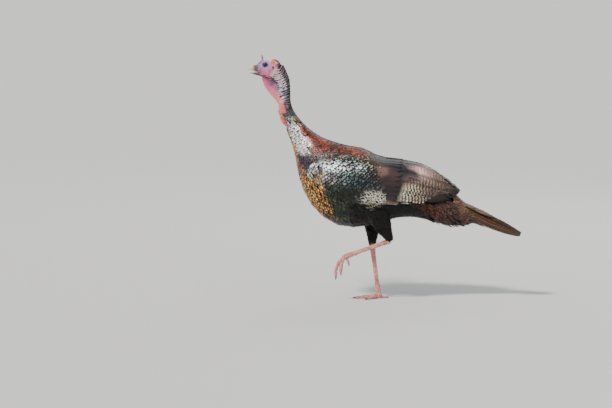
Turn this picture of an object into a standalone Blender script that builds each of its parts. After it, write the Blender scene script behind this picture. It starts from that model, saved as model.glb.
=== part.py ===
"""Wild turkey, a young tom in mid-stride: the solids of a life-size still model.

Metres, +Z up. The bird faces -X, its left side is at -Y and its left leg is lifted.
The floor is z = 0 and the right foot stands on it, near the origin.
"""
import math

import bmesh
import bpy
from mathutils import Vector

MM = 0.001
GAP = 0.0003                    # clearance between pieces that touch

# Rows of the trunk and neck, in millimetres, from the head back to the tail coverts:
# centre x, centre z, rise to the back, drop to the belly, half width.
NECK_UPPER_ROWS = (
    (-352, 738, 29, 21, 20),
    (-331, 702, 24.5, 22, 20),
    (-323, 664, 18, 18, 17),
    (-321, 634, 17.5, 18, 17),
    (-314, 604, 19, 21, 20),
)
NECK_LOWER_ROWS = (
    (-297, 574, 21, 29, 26),
    (-270, 538, 25, 41, 35),
    (-239, 496, 43, 59, 54),
)
TRUNK_ROWS = (
    (-204, 448, 81, 89, 82),
    (-160, 402, 112, 120, 100),
    (-104, 368, 120, 134, 108),
    (-38, 352, 110, 112, 105),
    (36, 345, 94, 82, 92),
    (100, 330, 89, 64, 74),
    (160, 306, 77, 51, 56),
)
RUMP_ROWS = (
    (215, 288, 46, 46, 42),
    (262, 271, 26, 27, 31),
    (290, 259, 12, 10, 20),
)
BODY_STEPS = 2                  # rings for each row
BODY_SIDES = 28
BODY_SQUARENESS = 2.15

# Rows of the head: x, top z, bottom z, half width.
HEAD_ROWS = (
    (-409, 756.5, 729, 9),
    (-402, 764, 720, 12),
    (-393, 769.5, 715, 14.5),
    (-383, 773, 710, 16.5),
    (-370, 774.5, 706, 18),
    (-356, 772.5, 705, 18.5),
    (-344, 766.5, 709, 17),
    (-335.5, 756, 719, 13),
    (-331.5, 746, 729, 7),
)
HEAD_SIDES = 22
HEAD_STEPS = 1

EYE_RADIUS = 8 * MM
EYE_CENTRE = (-384 * MM, 9 * MM, 754.5 * MM)

# Rows of the bill and tongue: x, edge z, rise, drop, half width.
BILL_UPPER_ROWS = (
    (-396, 731, 24, 0.8, 8.8),
    (-409, 733, 22.5, 0.8, 8.2),
    (-419, 735.4, 17, 0.8, 6.6),
    (-428, 737.4, 11.2, 0.8, 5),
    (-435, 738.4, 6.4, 0.9, 3.3),
    (-439.5, 737.8, 2.4, 1.0, 1.5),
)
BILL_LOWER_ROWS = (
    (-397, 727, 0.6, 10.5, 7.8),
    (-408, 727.6, 0.6, 8, 6.8),
    (-418, 728, 0.6, 5.4, 5.2),
    (-427, 728.2, 0.6, 3.2, 3.4),
    (-434, 728, 0.5, 1.2, 1.4),
)
TONGUE_ROWS = (
    (-397, 730, 1.1, 1.0, 3.4),
    (-410, 730.5, 1.1, 1.0, 3.3),
    (-419, 731.2, 0.9, 0.8, 2.2),
)
SNOOD_ROWS = (                  # x, z, radius
    (-391, 764, 4.4),
    (-393, 773, 3.6),
    (-394.5, 780, 2.7),
    (-395.5, 786, 1.8),
)

DEWLAP_THICKNESS = 5 * MM
DEWLAP_EDGE = (                 # free front edge, x and z
    (-396.5, 720), (-394, 705), (-387.5, 687), (-377, 670), (-364, 655), (-352, 641), (-341, 626),
)
DEWLAP_ROOT = ((-322, 634), (-322, 664), (-334, 706))

CARUNCLE_ROWS = (               # x, z, reach forward, half width
    (-336, 628, 5, 8),
    (-334, 611, 9, 13),
    (-330, 594, 11, 17),
    (-325, 578, 12, 19),
    (-319, 563, 12, 17),
    (-313, 553, 6, 9),
)
CARUNCLE_SIDES = 16
CARUNCLE_LOBES = 5
CARUNCLE_SWELL = 0.16

# Rows of the folded wing, in millimetres: x, then y and z of the upper edge, of the point
# that pulls the outer face out, and of the lower edge, then the thickness.
WING_ROWS = (
    (-250, 62, 438, 84, 430, 72, 416, 8),
    (-226, 54, 460, 112, 448, 90, 386, 14),
    (-190, 52, 472, 142, 458, 104, 354, 18),
    (-130, 50, 477, 160, 458, 112, 330, 20),
    (-60, 44, 471, 158, 450, 114, 320, 20),
    (0, 28, 453, 150, 442, 106, 317, 18),
    (60, 12, 446, 136, 440, 92, 313, 16),
    (110, 8, 436, 112, 428, 76, 310, 14),
    (160, 7, 412, 86, 404, 58, 312, 12),
    (200, 7, 386, 62, 378, 45, 321, 10),
    (228, 8, 361, 40, 361, 33, 334, 8),
    (238, 12, 352, 27, 352, 24, 340, 5),
)
WING_ACROSS = 8
WING_STEPS = 1

TAIL_ROWS = (                   # centre x, centre z, rise, drop, half width
    (240, 290, 20, 20, 29),
    (262, 281, 23, 23, 33),
    (321, 257, 20, 21, 40),
    (385, 229, 14, 15, 45),
    (416, 214, 9, 10, 43),
    (431, 207, 5, 5, 34),
    (437.5, 204, 3, 2.5, 20),
)
TAIL_SIDES = 18

# Legs: x, y, z, half depth, half width. The left leg is lifted, the right one stands.
THIGH_ROWS = {
    "left": (
        (-30, -66, 318, 40, 26), (-24, -70, 285, 38, 28), (-14, -68, 255, 30, 25),
        (-1, -62, 228, 20, 18), (10, -57, 208, 13, 12.5), (14, -55, 199, 10.5, 10.5),
    ),
    "right": (
        (-48, 68, 310, 42, 26), (-46, 64, 275, 36, 27), (-42, 56, 242, 27, 23),
        (-40, 47, 212, 19, 17), (-40, 41, 184, 13, 12.5), (-39.5, 38, 169, 10.5, 10.5),
    ),
}
SHANK_ROWS = {
    "left": (
        (14.5, -54.5, 195.5, 9.5, 8.5), (0, -53.5, 189.5, 7.6, 6.6), (-40, -50, 175, 6.2, 5.1),
        (-85, -45.5, 158.5, 6.2, 5.3), (-116, -42, 146.5, 7.6, 7.2), (-128, -40.5, 142, 7.8, 8.2),
    ),
    "right": (
        (-39.5, 37, 164.5, 9.5, 8.5), (-38, 35, 150, 7.8, 6.6), (-32, 28, 104, 6.2, 5.1),
        (-25, 20, 53, 6.2, 5.3), (-21, 16, 22, 7.6, 7.2), (-19.5, 15, 10, 8.6, 8.6),
    ),
}
SHANK_SIDES = 12

# Toes: yaw from straight ahead, length and base radius; then the claw's length.
TOES = {
    "middle": (0, 76 * MM, 6.2 * MM, 13 * MM),
    "inner": (-38, 54 * MM, 5.6 * MM, 11 * MM),
    "outer": (38, 58 * MM, 5.6 * MM, 11 * MM),
    "hind": (172, 26 * MM, 4.6 * MM, 10 * MM),
}
TOE_TAPER = 0.62
TOE_SQUASH = 0.72               # height of a resting toe's axis, as a share of its radius
TOE_SIDES = 8
CLAW_SIDES = 6
CLAW_RINGS = 4
TOE_RINGS = 5
FOOT_YAW = {"left": 6, "right": -4}
CURL_START = {"inner": -40, "middle": -30, "outer": -40, "hind": -48}
CURL_TURN = {"inner": -62, "middle": -70, "outer": -62, "hind": -30}
CURL_SPREAD = 0.35
SPUR_LENGTH = 10 * MM
SPUR_RADIUS = 3.2 * MM

COLOURS = {                     # base colour, roughness
    "face_skin": ((0.60, 0.42, 0.46), 0.55),
    "neck_skin": ((0.62, 0.50, 0.48), 0.6),
    "red_skin": ((0.72, 0.16, 0.13), 0.5),
    "throat_skin": ((0.76, 0.32, 0.32), 0.5),
    "body_feather": ((0.10, 0.065, 0.045), 0.45),
    "breast_feather": ((0.30, 0.15, 0.06), 0.4),
    "wing_feather": ((0.30, 0.25, 0.20), 0.5),
    "tail_feather": ((0.22, 0.12, 0.08), 0.55),
    "thigh_feather": ((0.03, 0.026, 0.024), 0.6),
    "horn": ((0.62, 0.54, 0.42), 0.4),
    "claw": ((0.16, 0.11, 0.09), 0.4),
    "leg_scale": ((0.62, 0.30, 0.28), 0.5),
    "eye": ((0.03, 0.018, 0.012), 0.08),
    "tongue": ((0.55, 0.30, 0.36), 0.5),
}


def fresh_collections():
    for item in list(bpy.data.objects):
        bpy.data.objects.remove(item)
    parts = bpy.data.collections.new("wild_turkey")
    cutters = bpy.data.collections.new("cutters")
    bpy.context.scene.collection.children.link(parts)
    bpy.context.scene.collection.children.link(cutters)
    return parts, cutters


def material(name):
    found = bpy.data.materials.get(name)
    if found:
        return found
    colour, roughness = COLOURS[name]
    made = bpy.data.materials.new(name)
    made.use_nodes = True
    shader = made.node_tree.nodes["Principled BSDF"]
    shader.inputs["Base Color"].default_value = (*colour, 1)
    shader.inputs["Roughness"].default_value = roughness
    made.diffuse_color = (*colour, 1)
    return made


def curved(rows, steps):
    """Rows along a smooth curve through the given rows, with steps rings for each."""
    padded = [rows[0], *rows, rows[-1]]
    out = []
    for a, b, c, d in zip(padded, padded[1:], padded[2:], padded[3:]):
        for step in range(steps):
            t = step / steps
            out.append(tuple(
                0.5 * (2 * q + (r - p) * t + (2 * p - 5 * q + 4 * r - s) * t ** 2
                       + (3 * q - p - 3 * r + s) * t ** 3)
                for p, q, r, s in zip(a, b, c, d)))
    out.append(tuple(rows[-1]))
    return out


def oval(centre, side, up, half_width, rise, drop, sides, squareness=2.0):
    """A ring round a centre: half_width to each side, rise above it and drop below it."""
    power = 2 / squareness
    points = []
    for index in range(sides):
        angle = math.tau * (index + 0.5) / sides
        across, height = math.cos(angle), math.sin(angle)
        across = math.copysign(abs(across) ** power, across) * half_width
        height = math.copysign(abs(height) ** power, height) * (rise if height > 0 else drop)
        points.append(centre + side * across + up * height)
    return points


def loft(rings, tips=(None, None)):
    """A closed mesh through rings of equal count, its ends flat or drawn to a tip point."""
    bm = bmesh.new()
    loops = [[bm.verts.new(point) for point in ring] for ring in rings]
    for first, second in zip(loops, loops[1:]):
        for index in range(len(first)):
            after = (index + 1) % len(first)
            bm.faces.new((first[index], first[after], second[after], second[index]))
    for loop, tip in zip((loops[0], loops[-1]), tips):
        if tip is None:
            bm.faces.new(loop)
            continue
        apex = bm.verts.new(tip)
        for index in range(len(loop)):
            bm.faces.new((loop[index], loop[(index + 1) % len(loop)], apex))
    bmesh.ops.recalc_face_normals(bm, faces=bm.faces)
    return bm


def add_part(name, bm, material_name, collection):
    bmesh.ops.triangulate(bm, faces=bm.faces)       # so a part and its cutter share facets
    mesh = bpy.data.meshes.new(name)
    bm.to_mesh(mesh)
    bm.free()
    mesh.shade_smooth()
    mesh.set_sharp_from_angle(angle=math.radians(50))
    mesh.materials.append(material(material_name))
    item = bpy.data.objects.new(name, mesh)
    collection.objects.link(item)
    return item


def grown_copy(item, cutters):
    """A hidden copy of a part, grown by the clearance, for cutting its neighbours."""
    cutter = bpy.data.objects.new(item.name + "_cutter", item.data)
    cutters.objects.link(cutter)
    cutter.hide_render = True
    cutter.display_type = "WIRE"
    grow = cutter.modifiers.new("clearance", "DISPLACE")
    grow.strength = GAP
    grow.mid_level = 0
    return cutter


def cut(item, *cutter_items):
    for cutter in cutter_items:
        boolean = item.modifiers.new("clear_of_" + cutter.name, "BOOLEAN")
        boolean.operation = "DIFFERENCE"
        boolean.solver = "EXACT"
        boolean.object = cutter


def spine_rings(rows, sides, squareness=2.0):
    """Rings square to a spine in the plane y = 0; rows hold x, z, rise, drop, half width."""
    rings = []
    for index, (x, z, rise, drop, half_width) in enumerate(rows):
        before = rows[max(index - 1, 0)]
        after = rows[min(index + 1, len(rows) - 1)]
        run, climb = after[0] - before[0], after[1] - before[1]
        length = math.hypot(run, climb)
        up = Vector((-climb / length, 0, run / length))
        ring = oval(Vector((x, 0, z)) * MM, Vector((0, 1, 0)), up,
                    half_width * MM, rise * MM, drop * MM, sides, squareness)
        rings.append(ring)
    return rings


def shifted(ring, other, distance):
    """A ring moved by a distance towards another ring."""
    move = (sum(other, Vector()) - sum(ring, Vector())).normalized() * distance
    return [point + move for point in ring]


def middle(ring):
    return sum(ring, Vector()) / len(ring)


def upright_rings(rows, sides, squareness=2.0):
    """Rings in planes of constant x; rows hold x, edge z, rise, drop, half width."""
    return [oval(Vector((x, 0, z)) * MM, Vector((0, 1, 0)), Vector((0, 0, 1)),
                 half_width * MM, rise * MM, drop * MM, sides, squareness)
            for x, z, rise, drop, half_width in rows]


def path_rings(points, half_depths, half_widths, side, sides):
    """Rings square to a path, with their half widths measured towards side."""
    rings = []
    for index, point in enumerate(points):
        along = points[min(index + 1, len(points) - 1)] - points[max(index - 1, 0)]
        along.normalize()
        across = (side - along * side.dot(along)).normalized()
        up = across.cross(along)
        depth = half_depths[index]
        rings.append(oval(point, across, up, half_widths[index], depth, depth, sides))
    return rings


def build_neck_and_body(parts, cutters):
    """Neck, trunk and rump as lengths of one form, parted by thin cuts."""
    groups = (
        ("neck_upper", "neck_skin", NECK_UPPER_ROWS),
        ("neck_lower", "body_feather", NECK_LOWER_ROWS),
        ("trunk", "body_feather", TRUNK_ROWS),
        ("rump", "tail_feather", RUMP_ROWS),
    )
    rows = [row for group in groups for row in group[2]]
    rings = spine_rings(curved(rows, BODY_STEPS), BODY_SIDES, BODY_SQUARENESS)
    built = {}
    first = 0
    for name, material_name, group_rows in groups:
        last = min(first + BODY_STEPS * len(group_rows), len(rings) - 1)
        lengths = rings[first:last + 1]
        if name != "rump":
            lengths[-1] = shifted(lengths[-1], lengths[-2], GAP)
        tip = None
        if name == "rump":
            tip = middle(lengths[-1]) + Vector((6, 0, -2.4)) * MM
        built[name] = add_part(name, loft(lengths, (None, tip)), material_name, parts)
        first = last
    return built, {name: grown_copy(item, cutters) for name, item in built.items()}


def build_head(parts, cutters):
    rows = []
    for x, top, bottom, half_width in curved(HEAD_ROWS, HEAD_STEPS):
        half_height = (top - bottom) / 2
        rows.append((x, bottom + half_height, half_height, half_height, half_width))
    rings = upright_rings(rows, HEAD_SIDES)
    tip = middle(rings[-1]) + Vector((1.2, 0, 0)) * MM
    head = add_part("head", loft(rings, (None, tip)), "face_skin", parts)
    grown = grown_copy(head, cutters)
    return head, grown


def build_eyes(head, parts, cutters):
    for name, sign in (("left", -1), ("right", 1)):
        bm = bmesh.new()
        bmesh.ops.create_uvsphere(bm, u_segments=14, v_segments=7, radius=EYE_RADIUS)
        eye = add_part("eye_" + name, bm, "eye", parts)
        x, y, z = EYE_CENTRE
        eye.location = (x, sign * y, z)
        socket = grown_copy(eye, cutters)
        socket.location = eye.location
        cut(head, socket)


def build_mouth(head, head_grown, parts, cutters):
    """Bill, tongue, and the slit between the mandibles that runs back into the face."""
    upper = loft(upright_rings(BILL_UPPER_ROWS, 16))
    lower = loft(upright_rings(BILL_LOWER_ROWS, 16))
    tongue = loft(upright_rings(TONGUE_ROWS, 12))
    for name, bm in (("bill_upper", upper), ("bill_lower", lower)):
        cut(add_part(name, bm, "horn", parts), head_grown)
    slit = bmesh.new()
    bmesh.ops.create_cube(slit, size=1)
    bmesh.ops.scale(slit, vec=(24 * MM, 40 * MM, 4.4 * MM), verts=slit.verts)
    bmesh.ops.translate(slit, vec=Vector((-409, 0, 730.3)) * MM, verts=slit.verts)
    gape = add_part("gape_cutter", slit, "tongue", cutters)
    gape.hide_render = True
    gape.display_type = "WIRE"
    cut(head, gape)
    add_part("tongue", tongue, "tongue", parts)


def build_snood(head_grown, parts):
    points = [Vector((x, 0, z)) * MM for x, z, radius in SNOOD_ROWS]
    radii = [radius * MM for x, z, radius in SNOOD_ROWS]
    rings = path_rings(points, radii, radii, Vector((0, 1, 0)), 12)
    tip = points[-1] + Vector((-0.3, 0, 1.2)) * MM
    cut(add_part("snood", loft(rings, (None, tip)), "red_skin", parts), head_grown)


def build_dewlap(head_grown, neck_grown, parts, cutters):
    """The thin flap of skin that hangs from the throat down the front of the neck."""
    outline = [Vector((x, 0, z)) * MM for x, z in curved(DEWLAP_EDGE, 2) + list(DEWLAP_ROOT)]
    bm = bmesh.new()
    half = Vector((0, DEWLAP_THICKNESS / 2, 0))
    face = bm.faces.new([bm.verts.new(point - half) for point in outline])
    grown = bmesh.ops.extrude_face_region(bm, geom=[face])
    moved = [item for item in grown["geom"] if isinstance(item, bmesh.types.BMVert)]
    bmesh.ops.translate(bm, vec=half * 2, verts=moved)
    bmesh.ops.recalc_face_normals(bm, faces=bm.faces)
    dewlap = add_part("dewlap", bm, "throat_skin", parts)
    rounded = dewlap.modifiers.new("rounded_edge", "BEVEL")
    rounded.width = 1.8 * MM
    rounded.segments = 2
    cut(dewlap, head_grown, *neck_grown)
    grown = grown_copy(dewlap, cutters)
    return grown


def build_caruncles(neck_grown, dewlap_grown, parts):
    """The lobed red lumps on the lower front of the neck, as one swollen form."""
    rings = []
    for index, (x, z, reach, half_width) in enumerate(curved(CARUNCLE_ROWS, 2)):
        ring = []
        for turn in range(CARUNCLE_SIDES):
            angle = math.tau * turn / CARUNCLE_SIDES
            swell = 1 + CARUNCLE_SWELL * math.cos(CARUNCLE_LOBES * angle + index * 2.1)
            swell -= CARUNCLE_SWELL * 0.6 * (index % 2 == 0)
            forward = math.cos(angle) * reach * swell
            ring.append(Vector((x - forward, math.sin(angle) * half_width * swell, z)) * MM)
        rings.append(ring)
    caruncles = add_part("caruncles", loft(rings), "red_skin", parts)
    cut(caruncles, *neck_grown, dewlap_grown)


def wing_ring(row, sign):
    """A crescent in a plane of constant x: the outer face, then the inner one back."""
    x, top_y, top_z, pull_y, pull_z, low_y, low_z, thickness = (value * MM for value in row)
    top, pull, low = Vector((0, top_y, top_z)), Vector((0, pull_y, pull_z)), Vector((0, low_y, low_z))
    outer, inner = [], []
    for step in range(WING_ACROSS + 1):
        t = step / WING_ACROSS
        point = top * (1 - t) ** 2 + pull * 2 * t * (1 - t) + low * t ** 2
        slope = (pull - top) * (1 - t) + (low - pull) * t
        inward = Vector((0, slope.z, -slope.y)).normalized()
        depth = thickness * (0.25 + 0.75 * math.sin(math.pi * t) ** 0.6)
        outer.append(point)
        inner.append(point + inward * depth)
    ring = outer + inner[::-1]
    return [Vector((x, sign * point.y, point.z)) for point in ring]


def build_wings(body_grown, parts):
    for name, sign in (("left", -1), ("right", 1)):
        rings = [wing_ring(row, sign) for row in curved(WING_ROWS, WING_STEPS)]
        wing = add_part("wing_" + name, loft(rings), "wing_feather", parts)
        cut(wing, *body_grown)


def build_tail(rump_grown, parts):
    rings = spine_rings(TAIL_ROWS, TAIL_SIDES, 2.4)
    tip = middle(rings[-1]) + Vector((2, 0, -0.8)) * MM
    tail = add_part("tail", loft(rings, (None, tip)), "tail_feather", parts)
    cut(tail, rump_grown)


def leg_rings(rows, sides):
    points = [Vector(row[:3]) * MM for row in rows]
    depths = [row[3] * MM for row in rows]
    widths = [row[4] * MM for row in rows]
    return path_rings(points, depths, widths, Vector((0, 1, 0)), sides)


def build_thighs(body_grown, parts, cutters):
    grown = {}
    for name, rows in THIGH_ROWS.items():
        thigh = add_part("thigh_" + name, loft(leg_rings(rows, 16)), "thigh_feather", parts)
        cut(thigh, *body_grown)
        grown[name] = grown_copy(thigh, cutters)
    return grown


def build_shanks(thighs_grown, parts, cutters):
    grown = {}
    for name, rows in SHANK_ROWS.items():
        rings = leg_rings(rows, SHANK_SIDES)
        end = middle(rings[-1]) - middle(rings[-2])
        tip = middle(rings[-1]) + end.normalized() * 6 * MM
        if name == "right":
            rings, tip = on_the_floor(rings, 0), None
            rings.append([Vector((point.x, point.y, 0)) for point in shrunk(rings[-1], 0.8)])
        shank = add_part("shank_" + name, loft(rings, (None, tip)), "leg_scale", parts)
        cut(shank, thighs_grown[name])
        grown[name] = grown_copy(shank, cutters)
    return grown


def shrunk(ring, factor):
    centre = middle(ring)
    return [centre + (point - centre) * factor for point in ring]


def on_the_floor(rings, floor):
    return [[Vector((p.x, p.y, max(p.z, floor))) for p in ring] for ring in rings]


def standing_toe_path(base, heading, length, radius):
    """A toe that comes down from the foot's joint and lies along the floor."""
    points = []
    end_height = radius * TOE_TAPER * TOE_SQUASH
    for step in range(TOE_RINGS + 1):
        t = step / TOE_RINGS
        height = end_height + (base.z - end_height) * (1 - t) ** 2
        points.append(Vector((base.x, base.y, 0)) + heading * length * t + Vector((0, 0, height)))
    return points


def curled_toe_path(base, yaw, start, turn, length):
    """A toe that hangs from a lifted foot and curls under."""
    points = [base]
    for step in range(TOE_RINGS):
        pitch = math.radians(start + turn * (step + 0.5) / TOE_RINGS)
        run = math.cos(pitch)
        heading = Vector((-math.cos(yaw) * run, math.sin(yaw) * CURL_SPREAD * 2, math.sin(pitch)))
        points.append(points[-1] + heading.normalized() * length / TOE_RINGS)
    return points


def build_foot(side_name, base, shank_grown, parts, cutters):
    """Four toes, each with its claw, from the lower end of the shank."""
    earlier = [shank_grown]
    for toe_name, (yaw_degrees, length, radius, claw_length) in TOES.items():
        mirror = 1 if side_name == "right" else -1
        yaw = math.radians(yaw_degrees * mirror + FOOT_YAW[side_name])
        heading = Vector((-math.cos(yaw), math.sin(yaw), 0))
        standing = side_name == "right"
        if standing:
            path = standing_toe_path(base, heading, length, radius)
        else:
            path = curled_toe_path(base, yaw, CURL_START[toe_name], CURL_TURN[toe_name], length)
        side = Vector((-heading.y, heading.x, 0))
        radii = [radius * (1 - (1 - TOE_TAPER) * step / TOE_RINGS)
                 * (1 + 0.08 * math.cos(math.tau * step / 2)) for step in range(TOE_RINGS + 1)]
        rings = path_rings(path, radii, radii, side, TOE_SIDES)
        if standing:
            rings = on_the_floor(rings, 0)
        name = side_name + "_" + toe_name
        toe = add_part("toe_" + name, loft(rings), "leg_scale", parts)
        cut(toe, *earlier)
        earlier.append(grown_copy(toe, cutters))
        build_claw("claw_" + name, path, radii[-1], claw_length, side, standing, parts)


def build_claw(name, path, radius, length, side, standing, parts):
    along = (path[-1] - path[-2]).normalized()
    down = side.cross(along).normalized()
    if down.z > 0:
        down = -down
    points, sizes = [], []
    for step in range(CLAW_RINGS):
        t = step / CLAW_RINGS
        bend = down * length * 0.28 * t ** 2
        points.append(path[-1] + along * (GAP + length * t) + bend)
        sizes.append(radius * 0.8 * (1 - t) ** 0.8 + 0.0003)
    rings = path_rings(points, sizes, [0.8 * size for size in sizes], side, CLAW_SIDES)
    tip = points[-1] + (points[-1] - points[-2]) * 0.8
    if standing:
        rings = on_the_floor(rings, GAP)
        tip.z = max(tip.z, GAP)
    add_part(name, loft(rings, (None, tip)), "claw", parts)


def build_spur(side_name, shank_grown, parts):
    """The short blunt spur on the inner back of a young tom's shank."""
    rows = SHANK_ROWS[side_name]
    upper, lower = (Vector(row[:3]) * MM for row in rows[3:5])
    root = upper.lerp(lower, 0.35)
    along = (lower - upper).normalized()
    sign = 1 if side_name == "left" else -1
    back = Vector((0, 1, 0)).cross(along)
    if back.x < 0:
        back = -back
    out = (back * 0.85 + Vector((0, sign, 0)) * 0.5).normalized()
    points = [root + out * (3 * MM + SPUR_LENGTH * t) for t in (0, 0.4, 0.8)]
    sizes = [SPUR_RADIUS * factor for factor in (1, 0.72, 0.36)]
    tip = root + out * (3.6 * MM + SPUR_LENGTH)
    spur = add_part("spur_" + side_name, loft(path_rings(points, sizes, sizes, along, 10), (None, tip)),
                    "horn", parts)
    cut(spur, shank_grown)


def main():
    parts, cutters = fresh_collections()
    body, body_grown = build_neck_and_body(parts, cutters)
    head, head_grown = build_head(parts, cutters)
    cut(body["neck_upper"], head_grown)
    build_eyes(head, parts, cutters)
    build_mouth(head, head_grown, parts, cutters)
    build_snood(head_grown, parts)
    neck_grown = [body_grown["neck_upper"], body_grown["neck_lower"]]
    dewlap_grown = build_dewlap(head_grown, neck_grown, parts, cutters)
    build_caruncles(neck_grown, dewlap_grown, parts)
    torso_grown = [body_grown["neck_lower"], body_grown["trunk"], body_grown["rump"]]
    build_wings(torso_grown, parts)
    build_tail(body_grown["rump"], parts)
    thighs_grown = build_thighs([body_grown["trunk"]], parts, cutters)
    shanks_grown = build_shanks(thighs_grown, parts, cutters)
    for side_name, rows in SHANK_ROWS.items():
        base = Vector(rows[-1][:3]) * MM
        build_foot(side_name, base, shanks_grown[side_name], parts, cutters)
        build_spur(side_name, shanks_grown[side_name], parts)


main()
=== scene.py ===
import itertools
import math

import bmesh
import bpy
import numpy as np
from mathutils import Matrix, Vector
from mathutils.bvhtree import BVHTree
from mathutils.kdtree import KDTree


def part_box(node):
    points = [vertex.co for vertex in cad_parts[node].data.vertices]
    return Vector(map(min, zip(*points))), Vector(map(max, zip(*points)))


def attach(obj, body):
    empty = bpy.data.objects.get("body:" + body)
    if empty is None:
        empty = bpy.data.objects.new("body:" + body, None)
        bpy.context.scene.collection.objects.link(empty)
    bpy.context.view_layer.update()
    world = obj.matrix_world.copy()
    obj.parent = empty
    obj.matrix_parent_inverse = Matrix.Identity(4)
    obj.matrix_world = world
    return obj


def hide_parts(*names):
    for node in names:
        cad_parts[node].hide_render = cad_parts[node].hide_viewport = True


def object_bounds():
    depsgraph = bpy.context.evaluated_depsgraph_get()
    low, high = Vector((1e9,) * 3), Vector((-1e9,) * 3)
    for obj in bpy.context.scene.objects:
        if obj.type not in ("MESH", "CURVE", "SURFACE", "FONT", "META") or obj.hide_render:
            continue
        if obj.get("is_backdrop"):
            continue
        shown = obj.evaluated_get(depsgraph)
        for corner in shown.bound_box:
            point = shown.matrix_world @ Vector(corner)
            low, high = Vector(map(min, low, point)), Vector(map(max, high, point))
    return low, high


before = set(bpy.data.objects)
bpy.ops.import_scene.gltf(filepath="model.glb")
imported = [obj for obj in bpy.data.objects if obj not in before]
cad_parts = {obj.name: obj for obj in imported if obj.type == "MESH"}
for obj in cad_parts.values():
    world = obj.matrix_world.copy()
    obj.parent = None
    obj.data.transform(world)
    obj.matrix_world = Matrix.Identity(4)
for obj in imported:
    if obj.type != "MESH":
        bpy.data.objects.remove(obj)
cadLow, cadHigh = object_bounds()
print("frame loaded")


def linear(colour):
    # colours below are written as they look on a screen, nodes want them linear
    c = np.asarray(colour, float)
    return np.where(c <= 0.04045, c / 12.92, ((c + 0.055) / 1.055) ** 2.4)


def rgba(colour):
    return tuple(linear(colour)) + (1.0,)


def ramp(value, low, high):
    t = np.clip((np.asarray(value, float) - low) / (high - low), 0.0, 1.0)
    return t * t * (3.0 - 2.0 * t)


def unit(v):
    v = np.asarray(v, float)
    return v / np.maximum(np.linalg.norm(v, axis=-1, keepdims=True), 1e-12)


def lattice(cells, seed):
    # one repeatable number from 0 to 1 for each whole-number place
    c = cells.astype(np.int64)
    h = c[..., 0] * 374761393 + c[..., 1] * 668265263 + c[..., 2] * 1442695041 + seed * 974634777
    h = (h ^ (h >> 13)) * 1274126177 & 0x7FFFFFFF
    return ((h ^ (h >> 16)) & 0xFFFFFF) / float(0xFFFFFF)


def noise(points, size, seed=0):
    # smooth value noise, 0 to 1, with features about `size` across
    p = np.asarray(points, float) / size
    base = np.floor(p).astype(np.int64)
    f = p - base
    f = f * f * (3.0 - 2.0 * f)
    total = 0.0
    for corner in itertools.product((0, 1), repeat=3):
        w = np.where(corner, f, 1 - f)
        total = total + w[..., 0] * w[..., 1] * w[..., 2] * lattice(base + np.array(corner), seed)
    return total


def mixed(a, b, amount):
    amount = np.asarray(amount, float)[..., None]
    return np.asarray(a, float) * (1 - amount) + np.asarray(b, float) * amount


def meshObject(name, verts, faces):
    verts = np.ascontiguousarray(verts, np.float32).copy()
    if not name.startswith(("shaping", "thinning")):
        verts[:, 2] = np.maximum(verts[:, 2], 0)  # nothing goes under the floor
    faces = np.ascontiguousarray(faces, np.int32)
    me = bpy.data.meshes.new(name)
    sides = faces.shape[1]
    me.vertices.add(len(verts))
    me.vertices.foreach_set("co", verts.ravel())
    me.loops.add(faces.size)
    me.loops.foreach_set("vertex_index", faces.ravel())
    me.polygons.add(len(faces))
    me.polygons.foreach_set("loop_start", np.arange(0, faces.size, sides, dtype=np.int32))
    me.polygons.foreach_set("use_smooth", np.ones(len(faces), bool))
    me.update(calc_edges=True)
    ob = bpy.data.objects.new(name, me)
    bpy.context.scene.collection.objects.link(ob)
    return ob


def meshArrays(me):
    v = np.empty(len(me.vertices) * 3, np.float32)
    me.vertices.foreach_get("co", v)
    me.calc_loop_triangles()
    t = np.empty(len(me.loop_triangles) * 3, np.int32)
    me.loop_triangles.foreach_get("vertices", t)
    return v.reshape(-1, 3).astype(float), t.reshape(-1, 3)


def vertexNormals(verts, tris):
    n = np.zeros_like(verts)
    a, b, c = verts[tris[:, 0]], verts[tris[:, 1]], verts[tris[:, 2]]
    face = np.cross(b - a, c - a)
    for k in range(3):
        np.add.at(n, tris[:, k], face)
    return unit(n)


def addVectors(me, name, values):
    att = me.attributes.new(name, "FLOAT_VECTOR", "POINT")
    att.data.foreach_set("vector", np.ascontiguousarray(values, np.float32).ravel())


def addColours(me, name, values):
    # values are screen colours
    att = me.attributes.new(name, "FLOAT_COLOR", "POINT")
    full = np.ones((len(values), 4), np.float32)
    full[:, :3] = linear(np.clip(values, 0, 1))
    att.data.foreach_set("color", full.ravel())


def fitted(ob, material, slot, *replaced):
    # material and body of a finished piece; the slot argument is not used
    ob.data.materials.append(material)
    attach(ob, "root")
    if replaced:
        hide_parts(*replaced)


def middleOf(name):
    low, high = (np.array(c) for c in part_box(name))
    return (low + high) / 2


def merged(parts):
    # joins (vertices, triangles) pairs
    verts, tris, start = [], [], 0
    for v, t in parts:
        verts.append(v)
        tris.append(t + start)
        start += len(v)
    return np.concatenate(verts), np.concatenate(tris)


def nodeArrays(names, grow=0.0):
    parts = []
    for name in names:
        v, t = meshArrays(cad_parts[name].data)
        # facets have their own corners in the frame, so equal corners share one normal
        key, back = np.unique(np.round(v, 6), axis=0, return_inverse=True)
        back = back.ravel()
        n = vertexNormals(key.astype(float), back[t])
        parts.append((key + n * grow, back[t]))
    return merged(parts)


def modified(ob):
    # the object's mesh after its modifiers, as arrays; the object itself goes
    me = bpy.data.meshes.new_from_object(ob.evaluated_get(bpy.context.evaluated_depsgraph_get()))
    verts, tris = meshArrays(me)
    bpy.data.objects.remove(ob)
    bpy.data.meshes.remove(me)
    # a triangle folded flat on its twin leaves with it
    _, back, times = np.unique(np.sort(tris, axis=1), axis=0, return_inverse=True, return_counts=True)
    return verts, tris[times[back.ravel()] == 1]


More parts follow.
